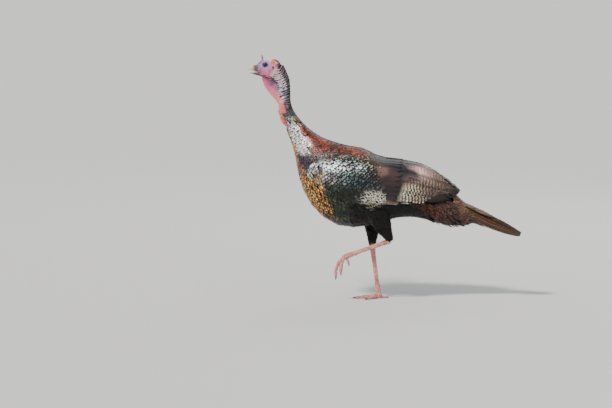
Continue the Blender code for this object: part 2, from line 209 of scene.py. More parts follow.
def remeshed(verts, tris, voxel, rounds):
    ob = meshObject("shaping", verts, tris)
    mod = ob.modifiers.new("voxels", "REMESH")
    mod.mode = "VOXEL"
    mod.voxel_size = voxel
    if rounds:
        soft = ob.modifiers.new("soften", "SMOOTH")
        soft.factor = 0.5
        soft.iterations = rounds
    return modified(ob)


def thinned(verts, tris, ratio, weights=None):
    # weights from 0 to 1 say where triangles may go
    ob = meshObject("thinning", verts, tris)
    mod = ob.modifiers.new("thin", "DECIMATE")
    mod.ratio = ratio
    if weights is not None:
        group = ob.vertex_groups.new(name="thin")
        level = np.round(weights * 10).astype(int)
        for k in range(1, 11):
            group.add(np.nonzero(level == k)[0].tolist(), k / 10, "REPLACE")
        mod.vertex_group = "thin"
    verts, tris = modified(ob)
    used, tris = np.unique(tris, return_inverse=True)
    return verts[used], tris.reshape(-1, 3)


def splitWhere(verts, tris, chosen):
    # every chosen triangle becomes four, its neighbours two or three, so no crack opens
    edges = np.sort(np.concatenate([tris[:, [0, 1]], tris[:, [1, 2]], tris[:, [2, 0]]]), axis=1)
    pairs, back = np.unique(edges, axis=0, return_inverse=True)
    back = back.ravel().reshape(3, -1).T
    cut = np.zeros(len(pairs), bool)
    cut[back[chosen].ravel()] = True
    fresh = np.full(len(pairs), -1)
    fresh[cut] = len(verts) + np.arange(cut.sum())
    verts = np.concatenate([verts, verts[pairs[cut]].mean(axis=1)])
    mid = fresh[back]
    count = (mid >= 0).sum(axis=1)
    out = [tris[count == 0]]
    t, m = tris[count == 3], mid[count == 3]
    out += [np.stack(s, 1) for s in (
        (t[:, 0], m[:, 0], m[:, 2]), (m[:, 0], t[:, 1], m[:, 1]),
        (m[:, 2], m[:, 1], t[:, 2]), (m[:, 0], m[:, 1], m[:, 2]))]
    for k in range(3):
        order = [k, (k + 1) % 3, (k + 2) % 3]
        one = (count == 1) & (mid[:, k] >= 0)
        a, b, c = (tris[one][:, i] for i in order)
        p = mid[one][:, k]
        out += [np.stack((a, p, c), 1), np.stack((p, b, c), 1)]
        two = (count == 2) & (mid[:, k] < 0)  # side k is whole, the other two are cut
        a, b, c = (tris[two][:, i] for i in order)
        q, r = mid[two][:, (k + 1) % 3], mid[two][:, (k + 2) % 3]
        out += [np.stack((a, b, q), 1), np.stack((a, q, r), 1), np.stack((r, q, c), 1)]
    return verts, np.concatenate(out)


def averaged(values, tris, rounds, amount=0.5, hold=None):
    # evens out a value or a place over each vertex's neighbours
    edges = np.concatenate([tris[:, [0, 1]], tris[:, [1, 2]], tris[:, [2, 0]]])
    count = np.bincount(edges.ravel(), minlength=len(values)).astype(float)
    values = np.asarray(values, float)
    wide = values if values.ndim > 1 else values[:, None]
    for _ in range(rounds):
        total = np.zeros_like(wide)
        for c in range(wide.shape[1]):
            total[:, c] = (np.bincount(edges[:, 0], wide[edges[:, 1], c], len(wide))
                           + np.bincount(edges[:, 1], wide[edges[:, 0], c], len(wide)))
        step = (total / np.maximum(count, 1)[:, None] - wide) * amount
        if hold is not None:
            step = step * hold[:, None]
        wide = wide + step
    return wide if values.ndim > 1 else wide[:, 0]


coat = {
    "outerVoxel": 0.003,
    "outerRounds": 8,
    "joinGrow": 0.0004,
    "skinVoxel": 0.0018,
    "skinRounds": 4,
    "mapPatch": 0.003,  # side of a vane's patch on the coat's map
}
fleshNodes = ["head", "neck_upper", "neck_lower", "trunk", "rump", "snood", "dewlap", "caruncles"]
legNodes = [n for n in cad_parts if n.startswith(("thigh_", "shank_", "toe_"))]
wingNodes = ["wing_left", "wing_right"]
coveredNodes = ["neck_upper", "neck_lower", "trunk", "rump", "thigh_left", "thigh_right"]


class Form:
    # a closed surface that answers: nearest point, its smooth normal, and rays
    def __init__(self, verts, tris, rounds=2):
        self.verts, self.tris = verts, tris
        self.normals = unit(averaged(vertexNormals(verts, tris), tris, rounds))
        self.tree = BVHTree.FromPolygons(verts.tolist(), tris.tolist())

    def nearest(self, points):
        place = np.empty((len(points), 3))
        face = np.empty(len(points), int)
        for i, p in enumerate(points):
            hit, _, index, _ = self.tree.find_nearest(p)
            place[i] = hit
            face[i] = index
        return place, face, self.normalAt(place, face)

    def weights(self, place, face):
        a, b, c = (self.verts[self.tris[face, k]] for k in range(3))
        n = np.cross(b - a, c - a)
        area = np.maximum((n * n).sum(-1), 1e-20)
        wa = (np.cross(c - b, place - b) * n).sum(-1) / area
        wb = (np.cross(a - c, place - c) * n).sum(-1) / area
        return np.clip(np.stack([wa, wb, 1 - wa - wb], 1), 0, 1)

    def normalAt(self, place, face):
        w = self.weights(place, face)
        return unit((self.normals[self.tris[face]] * w[..., None]).sum(1))


outer = Form(*remeshed(*nodeArrays(coveredNodes + wingNodes, coat["joinGrow"]),
                       coat["outerVoxel"], coat["outerRounds"]), rounds=4)
print("outer form:", len(outer.tris), "triangles")

eyeSpots = {}
for name in ("eye_left", "eye_right"):
    low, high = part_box(name)
    eyeSpots[name] = middleOf(name), (high[2] - low[2]) / 2
print("eyes:", {k: (np.round(v[0], 4).tolist(), round(v[1], 4)) for k, v in eyeSpots.items()})


def seedBlend(points, seeds, power=2.0, floor=0.003, warp=0.0):
    # blends seeds by nearness: each is x, |y|, z in mm, then values in hundredths
    table = np.array(seeds, float)
    s, values = table[:, :3] / 1000, table[:, 3:] / 100
    p = np.array(points, float)
    if warp:
        drift = np.stack([noise(p, warp * 2.2, 90 + k) for k in range(3)], 1) - 0.5
        p = p + warp * drift * (1.6, 0.5, 1.6)
    p[:, 1] = np.abs(p[:, 1])
    d2 = ((p[:, None, :] - s[None]) ** 2).sum(-1) + floor ** 2
    w = d2 ** -power
    return (w[..., None] * values[None]).sum(1) / w.sum(1)[:, None]


# the bare skin's colours
bareSeeds = [
    (-408, 8, 750, 52, 48, 62), (-396, 14, 748, 62, 60, 80), (-392, 15, 757, 52, 52, 74),
    (-384, 17, 742, 72, 62, 80), (-370, 17, 752, 76, 56, 72), (-384, 14, 767, 68, 60, 74),
    (-400, 4, 764, 54, 34, 38), (-385, 4, 773, 90, 74, 76), (-370, 6, 774, 96, 78, 76),
    (-359, 12, 765, 90, 38, 36), (-345, 12, 763, 92, 74, 64), (-341, 12, 752, 66, 34, 38),
    (-402, 9, 733, 66, 40, 58), (-390, 14, 734, 84, 48, 66), (-376, 16, 728, 90, 52, 62),
    (-366, 16, 738, 78, 46, 62), (-357, 16, 724, 92, 84, 74), (-345, 15, 735, 84, 74, 78),
    (-390, 6, 715, 80, 36, 48), (-372, 12, 711, 80, 42, 54), (-361, 13, 708, 16, 14, 24),
    (-352, 11, 700, 20, 18, 28), (-368, 10, 703, 50, 30, 42), (-344, 10, 684, 48, 42, 52),
    (-388, 0, 695, 86, 44, 56), (-372, 0, 675, 90, 42, 60), (-365, 0, 660, 90, 48, 56),
    (-346, 0, 636, 84, 44, 46), (-342, 13, 712, 82, 78, 80), (-332, 15, 695, 88, 82, 84),
    (-334, 12, 670, 82, 80, 84), (-330, 12, 642, 80, 72, 75), (-321, 16, 662, 18, 22, 34),
    (-314, 16, 636, 12, 14, 22), (-320, 16, 622, 32, 25, 31), (-317, 16, 606, 12, 11, 15),
    (-316, 17, 590, 72, 68, 66), (-306, 12, 606, 10, 9, 10), (-310, 0, 700, 12, 10, 12),
    (-304, 0, 640, 11, 9, 11), (-345, 0, 690, 80, 46, 54), (-338, 5, 650, 86, 56, 58),
    (-335, 5, 622, 96, 50, 47), (-328, 6, 585, 98, 50, 44), (-317, 9, 556, 98, 44, 38),
]
snoodColour = (0.50, 0.28, 0.28)

black = (0.020, 0.019, 0.022)
# the feathers' tint, fringe colour, fringe width, bar strength and shine
plumage = [
    (-306, 14, 602, 16, 15, 17, 55, 55, 54, 14, 0, 30),
    # neck base
    (-300, 22, 575, 74, 75, 72, 6, 6, 8, 20, 0, 35), (-292, 30, 545, 100, 100, 97, 5, 5, 6, 28, 0, 45),
    (-278, 40, 512, 100, 100, 100, 5, 5, 6, 28, 0, 45), (-262, 52, 490, 100, 100, 97, 8, 8, 9, 24, 0, 45),
    (-262, 60, 462, 31, 26, 31, 4, 3, 5, 15, 0, 50), (-250, 70, 440, 24, 20, 25, 3, 3, 4, 15, 0, 50),
    (-275, 50, 450, 28, 23, 28, 4, 3, 4, 15, 0, 50), (-324, 10, 560, 60, 36, 26, 10, 6, 6, 15, 0, 35),
    (-318, 6, 530, 68, 42, 25, 14, 8, 6, 18, 0, 40), (-302, 10, 490, 72, 43, 25, 10, 6, 5, 18, 0, 40),
    (-288, 12, 450, 74, 42, 24, 8, 5, 4, 20, 0, 40),
    # nape and upper back
    (-272, 16, 578, 46, 24, 18, 8, 5, 5, 20, 0, 40), (-250, 24, 545, 50, 25, 18, 7, 5, 5, 20, 0, 40),
    (-225, 30, 525, 52, 24, 16, 7, 5, 5, 20, 0, 40), (-200, 40, 500, 56, 25, 15, 7, 4, 4, 21, 0, 40),
    (-215, 55, 480, 42, 19, 14, 5, 4, 4, 22, 0, 40), (-160, 45, 490, 40, 17, 12, 6, 4, 4, 21, 0, 40),
    (-130, 55, 474, 45, 20, 13, 6, 4, 4, 21, 0, 40), (-100, 50, 476, 60, 29, 16, 7, 4, 4, 21, 0, 45),
    (-70, 45, 474, 54, 26, 15, 6, 4, 4, 21, 0, 45), (-30, 40, 462, 20, 15, 14, 5, 4, 5, 15, 0, 40),
    (0, 0, 458, 9, 7, 8, 2, 1.9, 2.2, 15, 0, 40), (-215, 65, 460, 30, 26, 26, 3, 3, 4, 26, 0, 45),
    (-170, 75, 468, 40, 34, 31, 3, 3, 4, 30, 0, 45),
    # shoulder and scapulars: their pale silver tints are painted reflection, sunlight glancing off iridescent
    # feathers
    (-238, 80, 425, 80, 82, 83, 10, 10, 12, 18, 0, 50), (-215, 95, 440, 99, 100, 100, 7, 7, 9, 24, 0, 50),
    (-190, 100, 432, 97, 98, 100, 4, 4, 6, 30, 0, 50), (-160, 100, 445, 84, 86, 86, 2, 2, 3, 38, 0, 50),
    (-130, 105, 430, 74, 77, 77, 2, 2, 3, 48, 0, 55), (-125, 95, 452, 68, 71, 69, 2, 2, 3, 46, 0, 55),
    (-95, 105, 440, 70, 74, 72, 2, 2, 3, 42, 0, 60), (-65, 105, 425, 58, 64, 63, 2, 2, 3, 44, 0, 60),
    (-50, 90, 445, 72, 70, 42, 2, 2, 3, 36, 0, 60), (-22, 85, 440, 98, 68, 22, 5, 4, 4, 22, 0, 60),
    (-35, 75, 454, 86, 90, 34, 5, 5, 4, 22, 0, 60),
    # side of the wing's front
    (-215, 105, 410, 66, 62, 52, 6, 6, 6, 26, 0, 45), (-180, 110, 400, 58, 59, 57, 2, 2, 3, 38, 0, 50),
    (-140, 115, 395, 48, 52, 51, 2, 2, 3, 42, 0, 55), (-100, 115, 395, 32, 38, 37, 2, 2, 3, 42, 0, 60),
    (-60, 110, 390, 25, 29, 29, 2, 2, 3, 42, 0, 60), (-130, 110, 360, 10, 14, 13, 2, 2, 2, 25, 0, 55),
    (-90, 110, 355, 10, 11, 10, 2, 2, 2, 25, 0, 50), (-180, 105, 360, 15, 20, 15, 2, 2, 2, 28, 0, 50),
    # breast
    (-270, 35, 420, 62, 42, 24, 7, 5, 4, 24, 0, 45), (-268, 45, 385, 92, 62, 30, 5, 4, 3, 27, 0, 50),
    (-245, 75, 375, 95, 64, 30, 4, 3, 3, 29, 0, 50), (-235, 60, 340, 98, 66, 28, 4, 3, 2, 29, 0, 50),
    (-215, 95, 360, 90, 62, 30, 3, 3, 2, 31, 0, 50), (-220, 40, 300, 94, 58, 24, 4, 3, 2, 29, 0, 50),
    (-195, 80, 305, 92, 62, 27, 3, 3, 2, 31, 0, 50), (-185, 50, 270, 62, 40, 18, 3, 3, 2, 36, 0, 50),
    (-225, 95, 392, 72, 60, 42, 4, 4, 3, 28, 0, 50), (-170, 100, 320, 20, 24, 14, 2, 2, 2, 30, 0, 50),
    # belly, flank and under the tail
    (-150, 90, 285, 11, 15, 10, 2, 2, 2, 25, 0, 45), (-150, 40, 255, 16, 13, 9, 2, 2, 2, 25, 0, 35),
    (-100, 50, 240, 5.5, 5.5, 4.2, 2, 1.9, 2.2, 20, 0, 30), (-80, 95, 300, 7, 8, 6.5, 2, 1.9, 2.2, 20, 0, 40),
    (-20, 80, 290, 2.8, 2.6, 2.6, 2, 1.9, 2.2, 20, 0, 35), (50, 50, 270, 2.8, 2.6, 2.6, 2, 1.9, 2.2, 20, 0, 30),
    (130, 40, 260, 7, 5, 5, 2, 1.9, 2.2, 20, 0, 25), (180, 30, 252, 30, 11, 9, 5, 3, 3, 20, 0, 25),
    (220, 30, 255, 20, 10, 8, 5, 4, 3, 20, 20, 25), (260, 12, 250, 26, 14, 10, 34, 22, 15, 15, 50, 25),
    # wing's lower front, dotted white
    (-72, 110, 345, 12, 11, 10, 95, 93, 88, 28, 0, 35), (-45, 105, 338, 16, 14, 13, 95, 93, 86, 30, 0, 35),
    (-55, 100, 322, 10, 9, 9, 70, 68, 60, 22, 0, 30),
    # back and rump
    (50, 0, 440, 10, 7.5, 8, 3, 3, 3, 15, 0, 45), (90, 20, 425, 13, 9, 9, 3, 3, 3, 18, 10, 45),
    (150, 20, 385, 34, 17, 13, 5, 4, 4, 20, 40, 45), (200, 20, 345, 42, 22, 16, 6, 5, 4, 20, 60, 40),
    (150, 45, 300, 38, 20, 15, 8, 5, 5, 20, 70, 35), (200, 42, 295, 40, 22, 16, 8, 5, 5, 20, 80, 35),
    (240, 20, 310, 46, 28, 20, 62, 48, 34, 16, 80, 35), (270, 15, 292, 46, 28, 19, 76, 64, 48, 16, 90, 30),
    (255, 28, 270, 38, 22, 16, 50, 36, 26, 16, 90, 30),
    # thighs
    (-30, 60, 260, 7.5, 6, 5.2, 2, 1.9, 2.2, 18, 0, 20), (0, 50, 220, 8.5, 6.6, 5.6, 2, 1.9, 2.2, 18, 0, 18),
    (-40, 40, 190, 9, 6.8, 5.6, 2, 1.9, 2.2, 18, 0, 18),
]


def plumageAt(points):
    # tint, fringe tint, (fringe width, bar strength, shine) of the coat at each place
    v = seedBlend(points, plumage, power=3.0, floor=0.006, warp=0.008)
    x, y, z = np.asarray(points).T
    # a dark band runs along the ridge of the back: partly the feathers' own dark colour, partly painted shade
    # along the back's top edge
    spine = np.interp(x, [-0.31, -0.25, -0.20, -0.10, 0.0, 0.09], [0.600, 0.540, 0.503, 0.468, 0.445, 0.42])
    ridge = ramp(np.abs(y) + 0.014 * noise(points, 0.016, 71), 0.024, 0.010)
    ridge = ridge * ramp(z - spine, -0.022, -0.006) * ramp(x, 0.09, 0.04)
    v[:, :3] = mixed(v[:, :3], (0.13, 0.09, 0.10), ridge * 0.8)
    v[:, 3:6] = mixed(v[:, 3:6], black, ridge * 0.9)
    return v[:, :3], v[:, 3:6], v[:, 6:]


skin = {
    "share": 0.19,  # of the first fine triangles, how many stay
    "lidGap": (0.0056, 0.0050),  # half width and half height of the eye's opening
    "lidRise": 0.0008,
    "faceMiddle": (-0.378, 0.750),  # x and z, as all these places
    "ringMiddle": (-0.362, 0.772),
    "ringPeriod": 0.0074,
    "ringDepth": 0.0012,
    "crownLumps": 0.0008,
    "cheekLumps": 0.0007,
    "cheekFolds": 0.0006,
    "napeLobePlace": (-0.350, 0.765),
    "napeLobes": 0.0008,
    "neckLumps": 0.0007,
    "dewlapFolds": 0.00035,
    "caruncleRise": 0.0022,
    "snoodRings": 0.00035,
    "mouthCrease": 0.0012,
    "earPlace": (-0.3585, 0.7455),
    "earDepth": 0.0022,
}
fullTurn = 2 * np.pi


def coatDepth(p):
    # how deep the skin lies under the coat's surface
    x, z = p[:, 0], p[:, 2]
    body = 0.0005 + 0.0075 * ramp(z, 0.605, 0.50) + 0.003 * ramp(z, 0.50, 0.42)
    low = 0.004 * ramp(z, 0.175, 0.25) + 0.006 * ramp(z, 0.245, 0.30)
    return np.where(z < 0.42, np.minimum(body, low), body)


def ball(radius, subdivisions):
    bm = bmesh.new()
    bmesh.ops.create_icosphere(bm, subdivisions=subdivisions, radius=radius)
    me = bpy.data.meshes.new("ball")
    bm.to_mesh(me)
    bm.free()
    v, t = meshArrays(me)
    bpy.data.meshes.remove(me)
    return v, t


def lumps(points, size, seed=0):
    # rounded cells: 1 at a cell's middle, 0 in the crease between cells
    cell = np.floor(points / size)
    best = np.full(len(points), 9.0)
    second = best.copy()
    for step in itertools.product((-1, 0, 1), repeat=3):
        c = cell + step
        spot = c + np.stack([lattice(c, seed + k) for k in range(3)], -1)
        d = np.linalg.norm(points / size - spot, axis=-1)
        second = np.where(d < best, best, np.minimum(second, d))
        best = np.minimum(best, d)
    return np.clip((second - best) * 1.6, 0, 1)


def eyeOffsets(points, side):
    # place against an eye's axis, over the opening's half size: 1 is the lid's edge
    centre, radius = eyeSpots["eye_left" if side < 0 else "eye_right"]
    dx = (points[:, 0] - centre[0]) / skin["lidGap"][0]
    dz = (points[:, 2] - centre[2]) / skin["lidGap"][1]
    return np.where(points[:, 1] * side > 0.002, np.hypot(dx, dz), 99.0), centre, radius


def backEdge(z):
    # x of the bare neck's rear edge at each height
    return np.interp(z, [0.595, 0.604, 0.634, 0.664, 0.702, 0.738, 0.757, 0.772],
                     [-0.290, -0.294, -0.3025, -0.3045, -0.309, -0.330, -0.338, -0.352])


def away(place, x, z):
    # distance from one of the skin's named places, seen from the side
    return np.hypot(x - skin[place][0], z - skin[place][1])


def waves(value, period):
    return np.cos(fullTurn * value / period)


def bell(value, centre, width):
    return np.exp(-((value - centre) / width) ** 2)


# one closed form of flesh, legs, wings and eyeballs, sunk to lie under the coat
parts = [nodeArrays(fleshNodes + legNodes + wingNodes, coat["joinGrow"])]
for centre, radius in eyeSpots.values():
    v, t = ball(radius + 0.0006, 4)
    parts.append((v + centre, t))
v, t = remeshed(*merged(parts), coat["skinVoxel"], coat["skinRounds"])
print("skin form:", len(t), "triangles")
n = unit(averaged(vertexNormals(v, t), t, 12))
tree = BVHTree.FromPolygons(v.tolist(), t.tolist())
depth = coatDepth(v)
thick = np.full(len(v), 0.10)
for i in np.nonzero(depth > 0.0012)[0]:
    hit, _, _, gap = tree.ray_cast(v[i] - n[i] * 0.0008, -n[i], 0.10)
    if hit is not None:
        thick[i] = gap
thick = averaged(np.minimum(thick, 0.1), t, 4)
v = v - n * np.minimum(depth, thick * 0.3)[:, None]
plain = ramp(v[:, 2], 0.61, 0.59) * ramp(v[:, 2], 0.20, 0.215)
v = averaged(v, t, 6, hold=plain)
v, t = thinned(v, t, skin["share"], np.round(plain, 1))
print("skin thinned:", len(t), "triangles")

# finer again over the bare neck and the caruncles, and once more round the eyes
middle = v[t].mean(axis=1)
bareNeck = (middle[:, 2] > 0.595) & (middle[:, 0] < -0.29)
v, t = splitWhere(v, t, bareNeck | (middle[:, 2] > 0.54) & (middle[:, 0] < -0.318))
v = averaged(v, t, 2, 0.4, hold=ramp(v[:, 2], 0.585, 0.60))
middle = v[t].mean(axis=1)
near = np.minimum(eyeOffsets(middle, -1)[0], eyeOffsets(middle, 1)[0])
v, t = splitWhere(v, t, near < 1.9)

# where each kind of fold or bump lies
n = unit(averaged(vertexNormals(v, t), t, 2))
x, y, z = v.T
aside = np.abs(y)
head = ramp(z, 0.690, 0.715) * ramp(x, -0.325, -0.338)
bare = ramp(z, 0.592, 0.604)
behind = ramp(away("faceMiddle", x, z), 0.030, 0.038) * bare * ramp(aside, 0.0035, 0.007)
ringGround = behind * ramp(z, 0.612, 0.640)
crown = ramp(z, 0.764, 0.770) * ramp(x, -0.398, -0.390)
cheek = head * (1 - crown)
rear = ramp(away("napeLobePlace", x, z), 0.013, 0.009)
dewlapGround = ramp(aside, 0.0050, 0.0032) * ramp(z, 0.715, 0.700) * bare
dewlapGround = dewlapGround * ramp(x + 0.35 * (z - 0.63), -0.336, -0.342)
lobes = ramp(z, 0.636, 0.622) * ramp(x + 0.22 * (z - 0.60), -0.305, -0.312) * ramp(z, 0.536, 0.542)
lobes = lobes * ramp(aside, 0.020, 0.014)
throat = bare * ramp(z, 0.652, 0.640) * ramp(x + 0.30 * (z - 0.63), -0.321, -0.328)
throat = throat * (1 - ramp(z, 0.60, 0.59))
neckLower = behind * ramp(z, 0.645, 0.635) * (1 - throat) * (1 - lobes)
snoodGround = ramp(z, 0.7745, 0.7765) * ramp(x, -0.3890, -0.3905)
crease = bell(z - 0.7305 - 0.15 * (x + 0.397), 0, 0.0009) * ramp(x, -0.387, -0.392)
crease = crease * ramp(aside, 0.004, 0.006)
earX, earZ = skin["earPlace"]
ear = np.hypot((x - earX), (z - earZ) * 0.85)
inEar = ramp(aside, 0.008, 0.011)

# how far each moves the skin along its normal
ringPlace = away("ringMiddle", x, z) + 0.0075 * (noise(v * (1, 1, 1.6), 0.014, 5) - 0.5)
ringPlace += 0.0030 * (noise(v, 0.006, 6) - 0.5)
ring = 0.5 + 0.5 * waves(ringPlace, skin["ringPeriod"])
cells = lumps(v, 0.0085, 41)
sweep = x * 0.80 - z * 0.45
move = -skin["ringDepth"] * ringGround * (1 - ring) ** 2
move += skin["crownLumps"] * crown * (lumps(v, 0.0032, 11) - 0.5)
move += skin["cheekLumps"] * cheek * (lumps(v * (1, 1, 1.3), 0.0024, 21) - 0.6)
move += (skin["cheekFolds"] * cheek * ramp(z, 0.742, 0.734)
         * np.cos(fullTurn * ((z + 0.35 * x) / 0.0042 + 0.8 * noise(v, 0.01, 22))))
move += skin["napeLobes"] * rear * lumps(v, 0.0045, 31)
move += skin["dewlapFolds"] * dewlapGround * np.sin(fullTurn * (sweep / 0.0075 + 1.6 * noise(v, 0.018, 7)))
move += 0.0003 * dewlapGround * (lumps(v, 0.0028, 8) - 0.5)
move += lobes * (skin["caruncleRise"] * cells + 0.0005 * lumps(v, 0.003, 43) - 0.0012)
move += neckLower * skin["neckLumps"] * (lumps(v, 0.0042, 51) - 0.5)
move += snoodGround * skin["snoodRings"] * waves(z + 0.3 * x, 0.0022)
move -= skin["mouthCrease"] * crease * head
move += inEar * (0.0007 * bell(ear, 0.0046, 0.0011) - skin["earDepth"] * ramp(ear, 0.0040, 0.0018))
for side in (-1, 1):
    q, centre, _ = eyeOffsets(v, side)
    lid = bell(q, 1.16, 0.13) + 0.45 * bell(q, 1.52, 0.09)
    brow = 1 + 0.5 * ramp(z - centre[2], 0.0, 0.005)
    move += skin["lidRise"] * lid * brow
    move -= 0.0005 * bell(q, 1.36, 0.07)
    move = np.where(q < 1.0, 0.0, move)
v = v + n * move[:, None]
# inside the lids the skin drops just under the eyeball
for side in (-1, 1):
    q, centre, radius = eyeOffsets(v, side)
    out = v - centre
    goal = radius - 0.0012 + 0.0014 * ramp(q, 0.97, 1.04)
    v = np.where((q < 1.04)[:, None], centre + out / np.linalg.norm(out, axis=1)[:, None] * goal[:, None], v)
v[:, 2] = np.maximum(v[:, 2], 0.0)

# its colours, each laid over the ones before
x, y, z = v.T
tint = seedBlend(v, bareSeeds, power=2.2, floor=0.004, warp=0.006)
napeEdge = ramp(x - backEdge(z) + 0.004 * noise(v, 0.006, 68), -0.0095, -0.0045) * ramp(z, 0.762, 0.752)
# the neck's ring folds: painted shade in their grooves, painted highlight on their ridges
ringGrooveShade = ringGround * (1 - throat) * ramp(ring, 0.50, 0.22) * ramp(noise(v, 0.009, 66), 0.22, 0.42)
chinLine = bell(z - 0.7185 - 0.25 * (x + 0.395), 0, 0.0016) * ramp(x, -0.380, -0.388)
for colour, amount in (
        ((1.00, 0.52, 0.50), 0.8 * np.maximum(throat, 0.6 * lobes)),
        ((0.07, 0.08, 0.13), 0.85 * neckLower * ramp(noise(v, 0.009, 67), 0.46, 0.58)),
        # painted shade in the ring grooves
        ((0.06, 0.06, 0.09), 0.96 * ringGrooveShade),
        ((0.06, 0.05, 0.06), 0.90 * bare * napeEdge),
        # painted highlight on the ring ridges
        ((1.00, 0.93, 0.95), 0.45 * ringGround * ramp(ring, 0.6, 0.9)),
        ((0.55, 0.52, 0.60), 0.5 * neckLower * ramp(noise(v, 0.006, 61), 0.55, 0.75)),
        # painted shade in the creases between the caruncles' lumps
        ((0.68, 0.20, 0.20), 0.45 * lobes * (1 - cells) ** 2),
        # lighter lump tops: partly random tone, partly painted highlight
        ((1.00, 0.66, 0.60), 0.55 * lobes * cells * noise(v, 0.01, 62)),
        (snoodColour, ramp(z, 0.770, 0.7755) * ramp(x, -0.387, -0.390)),
        # painted shade inside the ear's pit
        ((0.27, 0.22, 0.26), 0.85 * inEar * ramp(ear, 0.0044, 0.0026)),
        # painted shade along the mouth's crease
        ((0.40, 0.20, 0.26), 0.6 * crease * head),
        ((0.66, 0.30, 0.42), 0.40 * cheek * ramp(noise(v, 0.0035, 63), 0.45, 0.7)),
        ((0.16, 0.13, 0.24), 0.8 * head * chinLine)):
    tint = mixed(tint, colour, amount)
for side in (-1, 1):
    q = eyeOffsets(v, side)[0]
    tint = mixed(tint, (0.18, 0.19, 0.33), 0.85 * ramp(q, 2.0, 1.30))
    tint = mixed(tint, (0.10, 0.08, 0.09), ramp(q, 1.14, 1.02))
# under the coat the skin takes the coat's tint darkened towards black: painted shade in the gaps between
# feathers
coatTint = plumageAt(v)[0]
under = mixed(coatTint * 0.40, (0.05, 0.045, 0.045), 0.45)
tint = mixed(under, tint, np.maximum(ramp(z, 0.588, 0.602), lobes))
legTint = mixed((0.72, 0.45, 0.43), (0.62, 0.36, 0.36), noise(v, 0.012, 64))
tint = mixed(tint, legTint, ramp(z, 0.215, 0.200) * np.where(y < 0, 1.0, ramp(z, 0.185, 0.172)))
skinPiece = meshObject("skin", v, t)
addColours(skinPiece.data, "tint", tint)
print("skin:", len(t), "triangles")


def group(name, outputs, **inputs):
    # an input that starts as four numbers is a colour, and so is an output called colour
    tree = bpy.data.node_groups.new(name, "ShaderNodeTree")
    for label, start in inputs.items():
        kind = "NodeSocketColor" if isinstance(start, tuple) else "NodeSocketFloat"
        tree.interface.new_socket(name=label, in_out="INPUT", socket_type=kind).default_value = start
    for label in outputs:
        kind = "NodeSocketColor" if label == "colour" else "NodeSocketFloat"
        tree.interface.new_socket(name=label, in_out="OUTPUT", socket_type=kind)
    return Wiring(tree)


class Wiring:
    # short calls for nodes and links in one node tree
    def __init__(self, tree):
        self.tree = tree

    def node(self, kind, **settings):
        n = self.tree.nodes.new(kind)
        for k, v in settings.items():
            setattr(n, k, v)
        return n

    def put(self, socket, value):
        if isinstance(value, bpy.types.NodeSocket):
            self.tree.links.new(value, socket)
        elif isinstance(value, (int, float)):
            socket.default_value = value
        else:
            v = tuple(value)
            socket.default_value = v if len(v) == len(socket.default_value) else v + (1.0,)

    def math(self, operation, a, b=0.0):
        n = self.node("ShaderNodeMath", operation=operation)
        self.put(n.inputs[0], a)
        self.put(n.inputs[1], b)
        return n.outputs[0]

    def plus(self, a, b):
        return self.math("ADD", a, b)

    def minus(self, a, b):
        return self.math("SUBTRACT", a, b)

    def times(self, a, b):
        return self.math("MULTIPLY", a, b)

    def blend(self, amount, a, b, mode="MIX"):
        n = self.node("ShaderNodeMix", data_type="RGBA", blend_type=mode)
        for k, x in ((0, amount), (6, a), (7, b)):  # the colour sockets of a node that also mixes other kinds
            self.put(n.inputs[k], x)
        return n.outputs[2]

    def step(self, value, low, high):
        # rises smoothly from 0 at low to 1 at high
        n = self.node("ShaderNodeMapRange", interpolation_type="SMOOTHSTEP")
        for k, x in enumerate((value, low, high)):
            self.put(n.inputs[k], x)
        return n.outputs[0]

    def attribute(self, name, colour=False):
        n = self.node("ShaderNodeAttribute", attribute_name=name)
        return n.outputs["Color"] if colour else n.outputs["Vector"]

    def parts(self, vector):
        n = self.node("ShaderNodeSeparateXYZ")
        self.put(n.inputs[0], vector)
        return n.outputs

    def place(self):
        return self.node("ShaderNodeTexCoord").outputs["Object"]

    def noise(self, scale, detail=2.0, where=None):
        n = self.node("ShaderNodeTexNoise")
        self.put(n.inputs["Vector"], self.place() if where is None else where)
        n.inputs["Scale"].default_value = scale
        n.inputs["Detail"].default_value = detail
        return n.outputs["Fac"]

    def start(self):
        return self.node("NodeGroupInput").outputs

    def end(self, **values):
        n = self.node("NodeGroupOutput")
        for k, v in values.items():
            self.put(n.inputs[k], v)

    def use(self, name, **values):
        n = self.node("ShaderNodeGroup")
        n.node_tree = bpy.data.node_groups[name]
        for k, v in values.items():
            self.put(n.inputs[k], v)
        return n.outputs


def material(name, **values):
    # a material with one Principled shader, plain values set on its own sockets
    mat = bpy.data.materials.new(name)
    mat.use_nodes = True
    w = Wiring(mat.node_tree)
    shader = mat.node_tree.nodes["Principled BSDF"]
    for k, v in values.items():
        w.put(shader.inputs[k], v)
    return mat, w, shader


def bumpy(w, shader, height, distance, strength=1.0):
    n = w.node("ShaderNodeBump")
    n.inputs["Distance"].default_value = distance
    n.inputs["Strength"].default_value = strength
    w.put(n.inputs["Height"], height)
    w.put(shader.inputs["Normal"], n.outputs[0])


pattern = {
    "fringeFray": 0.0026,
    "fringeEdge": 0.72,  # inner edge of the fringe's blur, as a share of its width
    "barSlant": 0.45,
    "barWobble": 0.0060,
    "barBreaks": 5.0,
    "barbPeriod": 0.0011,
    "shaftHalf": 0.0005,
}

